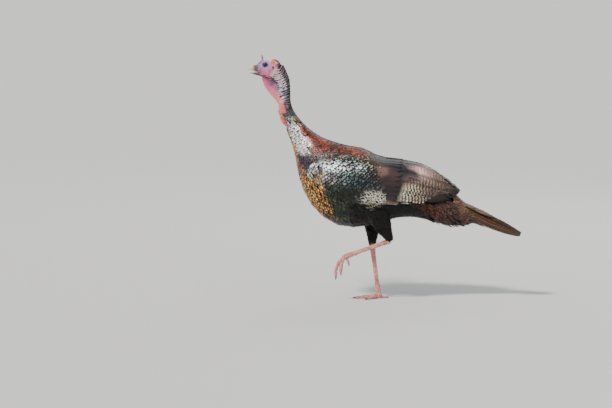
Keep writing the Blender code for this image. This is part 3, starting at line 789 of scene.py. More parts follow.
# a vane's own pattern: fringe round its end, cross bars, shaft and barbs
g = group("vaneMarks", ("colour", "height", "gloss"), barPeriod=0.006, barTint=(0.02, 0.015, 0.012, 1),
          barSharp=0.25, barWide=0.0, barbShade=0.25, tipDark=0.0)
given = g.start()
across, along, chance = g.parts(g.attribute("vane"))
side, tip, _ = g.parts(g.attribute("rim"))
fringeWidth, barStrength, shine = g.parts(g.attribute("marks"))
spread = g.math("ABSOLUTE", across)
wave = g.noise(260.0)
edge = g.plus(g.math("MINIMUM", side, tip), g.times(g.minus(wave, 0.5), pattern["fringeFray"]))
fringe = g.step(edge, fringeWidth, g.times(fringeWidth, pattern["fringeEdge"]))
chevron = g.minus(along, g.times(spread, pattern["barSlant"]))
wobble = g.plus(g.times(wave, pattern["barWobble"]), g.times(chance, 0.05))
turns = g.math("DIVIDE", g.plus(chevron, wobble), given["barPeriod"])
barWave = g.plus(g.math("SINE", g.times(turns, fullTurn)), given["barWide"])
barWave = g.plus(barWave, g.times(g.minus(g.noise(240.0, 1.0), 0.5), pattern["barBreaks"]))
bar = g.times(g.step(barWave, g.times(given["barSharp"], -1.0), given["barSharp"]), barStrength)
barbRun = g.plus(along, g.times(spread, 0.9))
barbs = g.math("SINE", g.times(barbRun, fullTurn / pattern["barbPeriod"]))
barbs = g.times(g.plus(barbs, 1.0), 0.5)
shaft = g.step(spread, pattern["shaftHalf"] + 0.0002, pattern["shaftHalf"] - 0.0002)
shade = g.plus(g.times(barbs, 0.5), g.times(g.noise(900.0), 0.9))
shade = g.minus(1.32, g.times(shade, given["barbShade"]))
own = g.plus(0.82, g.times(chance, 0.36))
ground = g.blend(bar, g.attribute("tint", True), given["barTint"])
ground = g.blend(g.times(given["tipDark"], g.step(tip, 0.030, 0.012)), ground, (0.010, 0.008, 0.008, 1))
ground = g.blend(fringe, ground, g.attribute("fringe", True))
ground = g.blend(g.times(shaft, 0.35), ground, (0.05, 0.04, 0.035, 1))
grey = g.times(shade, own)
tone = g.node("ShaderNodeCombineColor")
for k in range(3):
    g.put(tone.inputs[k], grey)
ground = g.blend(1.0, ground, tone.outputs[0], "MULTIPLY")
g.end(colour=ground, height=g.plus(g.times(barbs, 0.35), g.times(shaft, 1.2)), gloss=shine)

g = group("skinMottle", ("colour", "height"), tint=(0.8, 0.5, 0.5, 1), flush=(0.6, 0.1, 0.1, 1), amount=0.3)
given = g.start()
blotch = g.step(g.noise(420.0, 3.0), 0.50, 0.72)
mottled = g.blend(g.times(blotch, given["amount"]), given["tint"], given["flush"])
g.end(colour=mottled, height=g.plus(g.times(g.noise(2200.0), 0.6), g.noise(900.0, 3.0)))

g = group("hornGrain", ("colour", "height"), light=(0.6, 0.5, 0.35, 1), dark=(0.1, 0.06, 0.04, 1))
given = g.start()
stretch = g.node("ShaderNodeMapping")
g.put(stretch.inputs["Vector"], g.place())
stretch.inputs["Scale"].default_value = (0.35, 1.6, 1.6)
grain = g.noise(500.0, 3.0, stretch.outputs[0])
g.end(colour=g.blend(g.step(grain, 0.35, 0.70), given["light"], given["dark"]), height=grain)


def fleshMaterial(name, flush, amount, distance, strength, **values):
    # mottled skin over the mesh's own tint
    mat, w, shader = material(name, **values)
    out = w.use("skinMottle", tint=w.attribute("tint", True), flush=rgba(flush), amount=amount)
    w.put(shader.inputs["Base Color"], out["colour"])
    bumpy(w, shader, out["height"], distance, strength)
    return mat


def hornMaterial(name, dark, amount, distance, **values):
    # grain over the mesh's own tint
    mat, w, shader = material(name, **values)
    tint = w.attribute("tint", True)
    out = w.use("hornGrain", light=tint, dark=rgba(dark))
    w.put(shader.inputs["Base Color"], w.blend(amount, tint, out["colour"]))
    bumpy(w, shader, out["height"], distance, 0.5)
    return mat


def featherMaterial(name, bars, barTint, barbShade, rough, metal, sheen, specular=0.45, tipDark=0.0):
    # bars: their period, how soft their edges are and how wide they run
    mat, w, shader = material(name, **{"Roughness": rough, "Specular IOR Level": specular,
                                       "Sheen Weight": sheen, "Sheen Roughness": 0.4})
    period, sharp, wide = bars
    out = w.use("vaneMarks", barPeriod=period, barTint=rgba(barTint), barSharp=sharp,
                barWide=wide, barbShade=barbShade, tipDark=tipDark)
    w.put(shader.inputs["Base Color"], out["colour"])
    w.put(shader.inputs["Metallic"], w.times(out["gloss"], metal))
    w.put(shader.inputs["Roughness"], w.minus(rough, w.times(out["gloss"], 0.22)))
    bumpy(w, shader, out["height"], 0.00012, 0.6)
    return mat


coatBars, coatBarTint = (0.0065, 0.5, 0.0), (0.05, 0.04, 0.04)
bodyFeather = featherMaterial("bodyFeather", coatBars, coatBarTint, 0.50, 0.50, 0.60, 0.08)
bellyFeather = featherMaterial("bellyFeather", coatBars, coatBarTint, 0.45, 0.55, 0.30, 0.02, 0.20)
thighFeather = featherMaterial("thighFeather", coatBars, coatBarTint, 0.35, 0.70, 0.10, 0.03, 0.20)
wingFeather = featherMaterial("wingFeather", (0.0110, 0.35, 0.25), (0.10, 0.07, 0.06), 0.50, 0.52, 0.25, 0.05)
tailFeather = featherMaterial("tailFeather", (0.0085, 0.35, 0.10), (0.07, 0.04, 0.04), 0.55, 0.52, 0.25, 0.05,
                              tipDark=0.65)
skinMaterial = fleshMaterial("birdSkin", (0.72, 0.30, 0.36), 0.16, 0.00040, 0.8, **{
    "Roughness": 0.46, "Specular IOR Level": 0.45, "Subsurface Weight": 0.12, "Subsurface Scale": 0.002})
fitted(skinPiece, skinMaterial, "face_skin", *fleshNodes, *legNodes)
print("materials ready")


# which way the feathers point
flow = [
    (-312, 0, 700, 30, 0, -100), (-322, 17, 660, 8, 0, -100), (-300, 10, 600, 55, 0, -85),
    (-250, 0, 556, 82, 0, -55), (-290, 30, 540, 42, 10, -90), (-316, 10, 530, 20, 10, -100),
    (-275, 50, 470, 35, 25, -90), (-290, 0, 450, 15, 0, -100), (-265, 30, 370, 38, 15, -92),
    (-230, 30, 300, 70, 10, -70), (-190, 30, 255, 95, 0, -25), (-50, 20, 240, 100, 0, 5),
    (120, 20, 255, 100, 0, 2), (-230, 90, 430, 70, 30, -65), (-200, 100, 330, 72, 10, -68),
    (-170, 105, 420, 66, 5, -75), (-90, 110, 430, 68, 5, -73), (-100, 110, 395, 72, 5, -70),
    (-90, 110, 360, 92, 0, -40), (-60, 105, 300, 96, 0, -25), (-180, 20, 515, 95, 0, -32),
    (-50, 20, 470, 98, 0, -18), (80, 20, 430, 95, 0, -30), (180, 20, 360, 90, 0, -45),
    (180, 45, 300, 96, 0, -25), (260, 15, 290, 92, 0, -38), (-25, 60, 270, 45, 0, -90),
    (5, 55, 220, 20, 0, -100), (-40, 45, 200, 5, 0, -100),
]

# root spacing, vane length, vane width and how far the tip stands up, in hundredths of a mm
sizes = [
    (-310, 12, 600, 340, 1000, 500, 80), (-290, 25, 560, 420, 1400, 700, 100),
    (-275, 45, 500, 500, 1800, 950, 130), (-300, 10, 490, 500, 1800, 950, 130),
    (-255, 15, 555, 520, 1900, 1000, 130), (-180, 30, 505, 640, 2500, 1400, 170),
    (-60, 30, 470, 720, 3000, 1700, 190), (-230, 85, 430, 600, 2200, 1200, 170),
    (-170, 100, 430, 660, 2600, 1300, 200), (-70, 105, 425, 740, 3200, 1500, 220),
    (-110, 110, 370, 780, 3200, 1800, 200), (-265, 40, 390, 740, 2400, 1500, 220),
    (-215, 60, 300, 820, 2700, 1700, 260), (-120, 60, 240, 960, 3400, 2100, 260),
    (80, 40, 265, 1000, 3600, 2200, 240), (150, 20, 255, 900, 3800, 2000, 600),
    (190, 20, 250, 840, 4000, 1900, 800), (80, 10, 430, 840, 3400, 2000, 200),
    (200, 20, 330, 840, 3400, 1900, 200), (270, 15, 285, 680, 3200, 1400, 160),
    (-20, 60, 260, 700, 2400, 1300, 220), (0, 55, 215, 520, 1700, 850, 160),
    (-35, 45, 180, 440, 1300, 650, 120),
]


def flowAt(places, normals):
    d = seedBlend(places, flow, power=2.0, floor=0.01)
    d[:, 1] *= np.sign(places[:, 1])
    d -= normals * (d * normals).sum(1)[:, None]
    return unit(d)


def unwrapForm(form):
    v, t = thinned(form.verts, form.tris, 6000 / len(form.tris))
    ob = meshObject("unwrapping", v, t)
    bpy.context.view_layer.objects.active = ob
    ob.select_set(True)
    bpy.ops.object.mode_set(mode="EDIT")
    bpy.ops.mesh.select_all(action="SELECT")
    bpy.ops.uv.smart_project(angle_limit=1.15, island_margin=0.01, scale_to_bounds=True)
    bpy.ops.object.mode_set(mode="OBJECT")
    me = ob.data
    uv = np.empty(len(me.loops) * 2, np.float32)
    me.uv_layers.active.data.foreach_get("uv", uv)
    corners = uv.reshape(-1, 3, 2)
    chart = Form(*meshArrays(me))
    bpy.data.objects.remove(ob)
    return chart, corners


chart, chartCorners = unwrapForm(outer)


def mapPlaces(places):
    place, face, _ = chart.nearest(places)
    w = chart.weights(place, face)
    return (chartCorners[face] * w[..., None]).sum(1)


print("coat map ready")

def gridTriangles(nu, nv):
    # top sheet and under sheet share the rim, so each vane is one closed thin shell
    top = np.arange(nu * nv).reshape(nv, nu)
    low = top.copy()
    low[1:-1, 1:-1] = nu * nv + np.arange((nu - 2) * (nv - 2)).reshape(nv - 2, nu - 2)
    tris = []
    for sheet, flip in ((top, False), (low, True)):
        for j, i in itertools.product(range(nv - 1), range(nu - 1)):
            a, b, c, d = sheet[j, i], sheet[j, i + 1], sheet[j + 1, i + 1], sheet[j + 1, i]
            turned = (i < (nu - 1) / 2) == (j == nv - 2)  # keeps every triangle off the shared rim alone
            pair = [(a, b, d), (b, c, d)] if turned else [(a, b, c), (a, c, d)]
            tris += [p[::-1] if flip else p for p in pair]
    return np.array(tris), top[1:-1, 1:-1].ravel()


class Grid:
    # the mesh of one vane: rows along it from root to tip, lanes across it from edge to edge
    def __init__(self, rows, lanes):
        self.rows, self.lanes = np.array(rows), np.linspace(-1.0, 1.0, lanes)
        self.tris, self.inner = gridTriangles(lanes, len(rows))

    def shares(self, count):
        # how far along and how far across each corner lies, for each of count vanes
        s = np.repeat(self.rows, len(self.lanes))[None] * np.ones((count, 1))
        u = np.tile(self.lanes, len(self.rows))[None] * np.ones((count, 1))
        return s, u


vaneGrid = Grid([0.0, 0.22, 0.44, 0.64, 0.80, 0.92, 1.0], 7)
quillGrid = Grid([0, 0.08, 0.18, 0.29, 0.40, 0.51, 0.62, 0.72, 0.81, 0.88, 0.935, 0.97, 0.99, 1.0], 9)


def vaneOutline(s, root=0.42, blunt=0.22):
    # half width along a vane, as a share of its widest, which lies at `broad`
    broad = 0.55
    swell = root + (1 - root) * np.sin(np.clip(s / broad, 0, 1) * np.pi / 2)
    close = np.sqrt(np.clip(1 - ((s - broad) / (1 - broad)) ** 2 * (1 - blunt ** 2), 0, 1))
    return swell * np.where(s > broad, close, 1.0)


# how far one vane differs from the next
variety = {"length": 0.14, "width": 0.12, "lift": 0.4, "curl": 0.12, "channel": 0.15, "speckle": 0.014}


def shellPiece(name, grid, top, normals, thickness, measures, paint, corner, rng, mat, slot, *replaced):
    # joins closed thin vanes to one piece; paint gives each corner's tint, fringe tint and marks
    count, per = len(top), top.shape[1] + len(grid.inner)

    def both(values):
        return np.concatenate([values, values[:, grid.inner]], axis=1).reshape(count * per, -1)

    verts = np.concatenate([top, (top - normals * thickness)[:, grid.inner]], axis=1).reshape(-1, 3)
    tris = (grid.tris[None] + (np.arange(count) * per)[:, None, None]).reshape(-1, 3)
    ob = meshObject(name, verts, tris)
    over, along, sideGap, tipGap = measures
    tipGap = np.maximum(tipGap, 0)
    chance = np.broadcast_to(rng.random(count)[:, None], along.shape)
    tint, fringe, marks = paint(verts, both(tipGap)[:, 0], both(chance)[:, 0])
    addVectors(ob.data, "vane", both(np.stack([over, along, chance], -1)))
    addVectors(ob.data, "rim", both(np.stack([sideGap, tipGap, 0 * tipGap], -1)))
    addColours(ob.data, "tint", tint)
    addColours(ob.data, "fringe", fringe)
    addVectors(ob.data, "marks", marks)
    layer = ob.data.uv_layers.new(name="OFBake")
    layer.data.foreach_set("uv", both(corner)[tris.ravel()].astype(np.float32).ravel())
    fitted(ob, mat, slot, *replaced)
    print(f"{name}: {count} vanes, {len(tris)} triangles")


def layVanes(name, form, roots, normals, heads, spans, marks, rng, mat, slot, sink=0.0012, thickness=0.00022,
             wobble=0.05, tintShift=0.22, tipRound=0.30, loose=0.0):
    # one piece of vanes lying on a form, tips over the roots behind; spans are length, width and lift
    count = len(roots)
    tint, fringe, numbers = marks
    sideOpen = numbers[:, 3] if numbers.shape[1] > 3 else np.ones(count)
    steady = 1 / sideOpen ** 2  # vanes that stand in clear rows vary less
    turn = rng.normal(0, wobble, count) * steady
    heads = unit(heads + np.cross(normals, heads) * turn[:, None])
    sideways = np.cross(normals, heads)
    length, width, lift = (spans[:, k] for k in range(3))
    more = {key: rng.uniform(-variety[key], variety[key], count) for key in ("length", "width", "lift")}
    length = (length * (1 + more["length"] * steady))[:, None]
    width, lift = (width * (1 + more["width"]))[:, None], (lift * (1 + more["lift"]))[:, None]
    s, u = vaneGrid.shares(count)
    half = width / 2 * vaneOutline(s)
    along = s * length - tipRound * width * u ** 2 * s ** 3
    over = u * half
    flat = roots[:, None] + heads[:, None] * along[..., None] + sideways[:, None] * over[..., None]
    place, _, n = form.nearest(flat.reshape(-1, 3))
    place, n = place.reshape(flat.shape), n.reshape(flat.shape)
    rise = -sink * (1 - s) + lift * s ** 1.3 + 0.10 * width * (1 - u ** 2) * s * (1 - 0.5 * s)
    rise = rise + rng.uniform(-1, 1, (count, 1)) * variety["curl"] * lift * u * s
    top = place + n * rise[..., None]
    straight = flat + normals[:, None] * rise[..., None]
    top = top + (straight - top) * (loose * s ** 2)[..., None]

    def paint(verts, tipGap, chance):
        each = np.repeat(np.arange(count), len(verts) // count)
        shift = 1 + rng.normal(0, tintShift, (count, 1))
        shift = shift + rng.normal(0, tintShift * variety["channel"], (count, 3))
        own = tint * shift + np.abs(rng.normal(0, variety["speckle"], (count, 3)))
        return own[each], fringe[each], np.concatenate([numbers[:, :1] * width, numbers[:, 1:3]], 1)[each]

    measures = (over, along, half * (1 - np.abs(u)) * sideOpen[:, None],
                length - along - tipRound * width * np.abs(u) ** 2 * 0.9)
    # each vane is a small patch of the coat's map, at its root
    patch = np.stack([u, s * 2 - 1], -1) * coat["mapPatch"] / 2
    corner = np.clip(mapPlaces(roots)[:, None] + patch, 0.001, 0.999)
    shellPiece(name, vaneGrid, top, n, thickness, measures, paint, corner, rng, mat, slot)


scatter = {
    "tries": 90000,
    "seed": 41,
    "closeness": 0.80,
    "rowGap": 0.0090,  # between rows on the side of the breast
    "neckRowGap": 0.0072,
    "rowHalf": 0.11,  # how far from its row a vane may root, as a share of the gap
    "rowSpacing": 0.0060,  # along a row
    "neckRowSpacing": 0.0040,
    "coatTop": 0.604,  # feathers end where the bare neck starts
    "legTop": 0.176,  # and where the bare legs start, or higher on the lifted leg
    "liftedLegTop": 0.206,
    "wattleGap": 0.0012,
    "hang": 0.007,  # how far a vane's end may stand off the coat
    "shown": 0.62,  # where along a vane the part lies that shows most
    "wingStart": -0.050,  # behind this the folded wing's own big feathers lie
}
wingForm = Form(*remeshed(*nodeArrays(wingNodes, coat["joinGrow"]), 0.003, 3), rounds=3)


def onWing(places, normals):
    # true on the outer face of a folded wing
    gap = np.array([wingForm.tree.find_nearest(p)[3] for p in places])
    return (gap < 0.004) & (np.abs(normals[:, 1]) > 0.25) & (np.abs(places[:, 1]) > 0.012)


def scattered(form, tries, seed):
    rng = np.random.default_rng(seed)
    a, b, c = (form.verts[form.tris[:, k]] for k in range(3))
    area = np.linalg.norm(np.cross(b - a, c - a), axis=1)
    face = rng.choice(len(area), tries, p=area / area.sum())
    r = rng.random((tries, 2))
    r = np.where((r.sum(1) > 1)[:, None], 1 - r, r)
    w = np.stack([1 - r.sum(1), r[:, 0], r[:, 1]], 1)
    place = (form.verts[form.tris[face]] * w[..., None]).sum(1)
    return place, unit((form.normals[form.tris[face]] * w[..., None]).sum(1))


places, normals = scattered(outer, scatter["tries"], scatter["seed"])
measure = seedBlend(places, sizes, power=2.5, floor=0.008)
spacing = measure[:, 0] * 0.001 * scatter["closeness"]
x, y, z = places.T
aside = np.abs(y)
free = z < scatter["coatTop"] + 0.012 * ramp(x, -0.325, -0.305)
wattles = Form(*nodeArrays(["caruncles", "dewlap"]), rounds=0)
high = np.nonzero((z > 0.53) & (x < -0.29))[0]
wattleGap = np.array([wattles.tree.find_nearest(p)[3] for p in places[high]])
free[high] &= wattleGap > scatter["wattleGap"]
free &= ~((z < scatter["legTop"]) | (x > 0.292) | (y < -0.03) & (z < scatter["liftedLegTop"]))
# over the wing's front and the neck's base the feathers stand in rows across their flow
rowPlace = (np.hypot(x + 0.47, z - 0.815) + 0.25 * (aside - 0.09)) / scatter["rowGap"]
neckRows = (z > 0.480) & (z < 0.585) & (x < -0.245) & (aside > 0.010)
rowPlace = np.where(neckRows, (0.48 * x - 0.88 * z) / scatter["neckRowGap"], rowPlace)
inRows = (aside > 0.055) & (z > 0.36) & (z < 0.462) & (x > -0.245) & (x < 0.0)
free &= ~(inRows | neckRows) | (np.abs(rowPlace - np.round(rowPlace)) < scatter["rowHalf"])
spacing = np.where(neckRows, scatter["neckRowSpacing"], spacing)
spacing = np.where(inRows, scatter["rowSpacing"], spacing)
kd = KDTree(len(places))
for i, p in enumerate(places):
    kd.insert(p, i)
kd.balance()
kept = []
for i in range(len(places)):
    if free[i]:
        kept.append(i)
        for _, j, _ in kd.find_range(places[i], spacing[i]):
            free[j] = False


def only(chosen, *arrays):
    return [a[chosen] for a in arrays]


places, normals, measure = only(kept, places, normals, measure)
winged = onWing(places, normals)
wingEdge = scatter["wingStart"] + 0.010 + 0.02 * ramp(places[:, 2], 0.44, 0.34)
stay = ~(winged & (places[:, 0] > wingEdge))
places, normals, measure, winged = only(stay, places, normals, measure, winged)
heads = flowAt(places, normals)
spans = measure[:, 1:] * 0.001
# no vane hangs free over a gap in the coat
gaps = np.array([outer.tree.find_nearest(p)[3] for p in places + heads * spans[:, :1] * 0.7])
places, normals, spans, winged, heads = only(gaps < scatter["hang"], places, normals, spans, winged, heads)
# a vane shows mostly its outer part, so it takes the marks of the place that part covers
tint, fringe, numbers = plumageAt(places + heads * (spans[:, :1] * scatter["shown"]))
x, y, z = places.T
aside = np.abs(y)
# last number: how little of the fringe runs up a vane's sides
banded = ramp(z, 0.375, 0.395) * ramp(x, -0.235, -0.205) * ramp(x, 0.005, -0.010) * ramp(aside, 0.05, 0.07)
whiteNeck = ramp(z, 0.47, 0.49) * ramp(z, 0.585, 0.565) * ramp(aside, 0.008, 0.018)
numbers = np.column_stack([numbers, 1 + 2.5 * np.maximum(banded, 0.8 * whiteNeck)])
numbers[:, 0] *= 1 + 0.35 * banded
# painted sheen: dark feathers get random brighter bronze or green tints for light caught unevenly, some stay
# near black
dark = ramp(tint.max(axis=1), 0.24, 0.14) * ramp(z, 0.40, 0.36)
chooser = np.random.default_rng(scatter["seed"] + 1)
paintedSheen = np.exp(chooser.normal(-0.25, 0.55, len(places)))
warm = (chooser.random(len(places)) < 0.5)[:, None]
sheenHue = np.where(warm, (1.25, 0.95, 0.70), (0.80, 1.10, 0.95))
tint = mixed(tint, tint * paintedSheen[:, None] * sheenHue, dark * ramp(x, 0.16, 0.12))
print("coat:", len(places), "vanes to lay")

# each vane goes to the first zone that takes it
onThigh = (z < 0.262) & (aside > 0.028) & (x > -0.075) & (x < 0.045) & (z < 0.235 + 0.9 * (aside - 0.03))
onSide = winged & (x < 0.02)
zones = {
    "neck_feathers": z > 0.485,
    "thigh_feathers": onThigh,
    "side_feathers_left": onSide & (y < 0),
    "side_feathers_right": onSide & (y > 0),
    "mantle_feathers": (z > 0.395 - 0.30 * np.maximum(x, 0)) & (x > -0.245),
    "breast_feathers": x < -0.135,
    "rump_feathers": x > 0.135,
    "belly_feathers": x > -9,
}
zoneMaterials = {"thigh_feathers": thighFeather, "belly_feathers": bellyFeather}
taken = np.zeros(len(places), bool)
for name, test in zones.items():
    order = np.nonzero(test & ~taken)[0]
    taken |= test
    rng = np.random.default_rng(sum(name.encode()))
    thigh = name == "thigh_feathers"
    marks = only(order, tint, fringe, numbers)
    layVanes(name, outer, *only(order, places, normals, heads, spans), marks, rng,
             zoneMaterials.get(name, bodyFeather), "thigh_feather" if thigh else "body_feather",
             loose=0.7 if thigh else 0.15)


def layQuills(name, path, aside, up, width, layer, lift, paint, rng, mat, slot, form=None, replaced=(),
              camber=0.06, tipRound=0.34, thickness=0.0004, rootShare=0.35, waver=0.0):
    # path, aside and up: count x rows x 3, the middle line, its sideways and its outward directions
    count = len(path)
    s, u = quillGrid.shares(count)
    width = width[:, None]
    steps = np.linalg.norm(np.diff(path, axis=1), axis=2)
    gone = np.concatenate([np.zeros((count, 1)), np.cumsum(steps, 1)], 1)
    path, aside, up, tangent, gone = (np.repeat(a, len(quillGrid.lanes), axis=1) for a in (
        path, aside, up, unit(np.gradient(path, axis=1)), gone))
    fray = noise(np.stack([s * 9 + np.arange(count)[:, None] * 7, u * 0 + 3, s * 0], -1), 1.0, 3)
    half = width / 2 * vaneOutline(s, rootShare, 0.30)
    half = half * (1 + waver * (fray - 0.5))
    back = tipRound * width * u ** 2 * s ** 6
    over = u * half
    top = path + aside * over[..., None] - tangent * back[..., None]
    along = gone - back
    rise = layer[:, None] + lift[:, None] * s + camber * width * (1 - u ** 2) * np.sqrt(np.maximum(s, 0.02))
    if form is not None:
        place, _, n = form.nearest(top.reshape(-1, 3))
        top, up = place.reshape(top.shape), n.reshape(top.shape)
    top = top + up * rise[..., None]
    tipGap = steps.sum(1)[:, None] - along - tipRound * width * u ** 2 * 0.9
    # each feather has a rectangle of its own on the map
    across = math.ceil(math.sqrt(count))
    home = np.stack([np.arange(count) % across, np.arange(count) // across], -1)[:, None] / across
    corner = home + (0.04 + 0.92 * np.stack([u * 0.5 + 0.5, s], -1)) / across
    measures = (over, along, half * (1 - np.abs(u)), tipGap)
    shellPiece(name, quillGrid, top, up, thickness, measures, paint, corner, rng, mat, slot, *replaced)


class WingChart:
    # where x and f (0 at the folded wing's upper edge, 1 at its lower edge) lie on its outer face
    def __init__(self, side):
        self.xs = np.linspace(-0.24, 0.236, 80)
        self.fs = np.linspace(0.0, 1.0, 41)
        self.table = np.zeros((80, 41, 3))
        heights = np.interp(self.xs, [-0.24, -0.13, 0.0, 0.11, 0.236], [0.43, 0.40, 0.385, 0.372, 0.350])
        for i, (x, height) in enumerate(zip(self.xs, heights)):
            hits = []
            for a in np.radians(np.linspace(86, -80, 260)):
                d = np.array([0, side * math.cos(a), math.sin(a)])
                hit = wingForm.tree.ray_cast(np.array([x, 0, height]) + d * 0.30, -d, 0.299)[0]
                if hit is not None:
                    hits.append(tuple(hit))
            hits = np.array(hits)
            gone = np.concatenate([[0], np.cumsum(np.linalg.norm(np.diff(hits, axis=0), axis=1))])
            gone /= gone[-1]
            for c in range(3):
                self.table[i, :, c] = np.interp(self.fs, gone, hits[:, c])

    def at(self, x, f):
        i = np.interp(x, self.xs, np.arange(80))
        j = np.interp(f, self.fs, np.arange(41))
        i0, j0 = np.minimum(i.astype(int), 78), np.minimum(j.astype(int), 39)
        a, b = (i - i0)[..., None], (j - j0)[..., None]
        t = self.table
        return (t[i0, j0] * (1 - a) * (1 - b) + t[i0 + 1, j0] * a * (1 - b)
                + t[i0, j0 + 1] * (1 - a) * b + t[i0 + 1, j0 + 1] * a * b)


# rows of the folded wing, from the first feather to the last; width, layer and lift in mm
wingRows = {
    "primaries": {"count": 8, "rootX": (-0.030, -0.040), "rootF": (0.90, 0.93), "tipX": (0.222, 0.070),
                  "tipF": (0.62, 0.985), "width": 24, "layer": (-5.0, -6.5), "lift": 1.5},
    "secondaries": {"count": 9, "rootX": (-0.030, -0.030), "rootF": (0.88, 0.42), "tipX": (0.125, 0.196),
                    "tipF": (0.955, 0.52), "width": 36, "layer": (-4.6, -1.8), "lift": 2.6},
    "tertials": {"count": 8, "rootX": (-0.030, -0.020), "rootF": (0.48, 0.05), "tipX": (0.232, 0.150),
                 "tipF": (0.55, 0.07), "width": 38, "layer": (-1.6, 0.9), "lift": 2.2},
    "greater": {"count": 12, "rootX": (-0.085, -0.085), "rootF": (0.97, 0.06), "tipX": (0.036, 0.060),
                "tipF": (0.965, 0.08), "width": 26, "layer": (-1.2, 1.2), "lift": 2.6},
}
# on the wing: ground tint, bar strength, fringe tint
wingSeeds = [
    (-40, 105, 400, 17, 10, 10, 0, 7, 5, 5), (-10, 105, 418, 36, 28, 25, 0, 10, 7, 7),
    (20, 100, 410, 22, 14, 13, 0, 8, 5, 5), (0, 108, 395, 15.5, 8.5, 8, 0, 7, 5, 5),
    (0, 108, 360, 13.5, 7.5, 7, 0, 7, 5, 5), (35, 105, 370, 13.5, 7.5, 7, 0, 7, 5, 5),
    (30, 105, 340, 15, 9, 8.5, 0, 7, 5, 5), (-30, 100, 335, 12, 8, 8, 0, 7, 5, 5),
    (0, 90, 316, 40, 34, 30, 0, 80, 76, 70), (30, 85, 314, 50, 44, 38, 20, 74, 70, 64),
    (60, 100, 345, 92, 88, 78, 100, 10, 8, 7), (85, 95, 365, 90, 85, 70, 100, 10, 8, 7),
    (110, 85, 335, 70, 62, 52, 100, 10, 8, 7), (125, 80, 365, 56, 46, 38, 90, 12, 9, 8),
    (80, 85, 388, 46, 34, 30, 60, 20, 14, 13), (30, 80, 428, 10, 8.5, 11, 0, 7, 6, 8),
    (50, 75, 418, 9, 8, 12, 0, 7, 6, 8), (80, 72, 402, 12, 10, 13, 0, 8, 7, 9),
    (10, 50, 445, 17, 14, 14, 70, 46, 42, 40), (50, 40, 438, 18, 14, 14, 70, 50, 46, 44),
    (90, 30, 432, 38, 30, 28, 80, 60, 54, 50), (105, 55, 417, 88, 73, 69, 45, 50, 38, 34),
    (130, 45, 402, 66, 52, 48, 40, 40, 30, 27), (160, 45, 382, 50, 40, 35, 70, 66, 58, 52),
    (155, 70, 350, 40, 30, 25, 80, 56, 48, 42), (195, 45, 362, 36, 27, 22, 70, 62, 54, 46),
    (190, 50, 335, 32, 22, 18, 70, 46, 36, 30), (225, 30, 355, 10, 10.5, 8, 30, 28, 26, 20),
]


def marksOf(verts, fringeWidth, bars, shine):
    # the same or its own fringe width, bar strength and shine for every corner
    return np.stack([np.broadcast_to(a, len(verts)) for a in (fringeWidth, bars, shine)], 1)


def wingPaint(verts, tipGap, chance):
    v = seedBlend(verts, wingSeeds, power=3.0, floor=0.008)
    ground, bars, fringe = v[:, :3] * (0.82 + 0.36 * chance[:, None]), v[:, 3], v[:, 4:]
    return ground, fringe, marksOf(verts, 0.0016 + 0.0024 * bars ** 2, bars, 0.25)


for side, label in ((-1, "left"), (1, "right")):
    wing = WingChart(side)
    for row, plan in wingRows.items():
        rng = np.random.default_rng(sum((row + label).encode()))
        count = plan["count"]
        k = np.linspace(0, 1, count)
        rootX, rootF, tipX, tipF, layer = (plan[key][0] + (plan[key][1] - plan[key][0]) * k
                                           for key in ("rootX", "rootF", "tipX", "tipF", "layer"))
        s = quillGrid.rows[None]
        jitter = rng.normal(0, 0.002, count)
        path = wing.at(rootX[:, None] + (tipX + jitter - rootX)[:, None] * s,
                       rootF[:, None] + (tipF - rootF)[:, None] * s ** 1.1)
        tangent = unit(np.gradient(path, axis=1))
        across = unit(np.cross(wingForm.nearest(path.reshape(-1, 3))[2].reshape(path.shape), tangent))
        layQuills(f"wing_{row}_{label}", path, across, np.cross(tangent, across),
                  plan["width"] * 0.001 * rng.uniform(0.95, 1.05, count), layer * 0.001,
                  np.full(count, plan["lift"] * 0.001), wingPaint, rng, wingFeather, "wing_feather",
                  form=wingForm, replaced=[f"wing_{label}"] if row == "secondaries" else ())

# the closed tail: the middle pair lies on top, each next pair lower and further out
tail = {
    "pairs": 9,
    "seed": 77,
    "topX": (0.236, 0.262, 0.321, 0.385, 0.416, 0.4385),
    "topZ": (0.3105, 0.3045, 0.2800, 0.2480, 0.2290, 0.2135),
    "width": 0.042,
    "rootStep": 0.0020,
    "tipStep": 0.0026,
    "rootDrop": 0.0028,
    "tipDrop": 0.0013,
    "shorter": 0.0003,
    "roof": 0.95,  # how steeply the outermost pair hangs, in radians
}


def tailPaint(verts, tipGap, chance):
    ground = mixed((0.44, 0.28, 0.21), (0.36, 0.23, 0.18), ramp(tipGap, 0.11, 0.03))
    ground = mixed(ground, (0.40, 0.27, 0.20), ramp(tipGap, 0.012, 0.008))
    ground = ground * (0.55 + 0.85 * chance[:, None])
    return ground, np.broadcast_to((0.62, 0.50, 0.40), verts.shape), marksOf(verts, 0.0012, 0.62, 0.2)


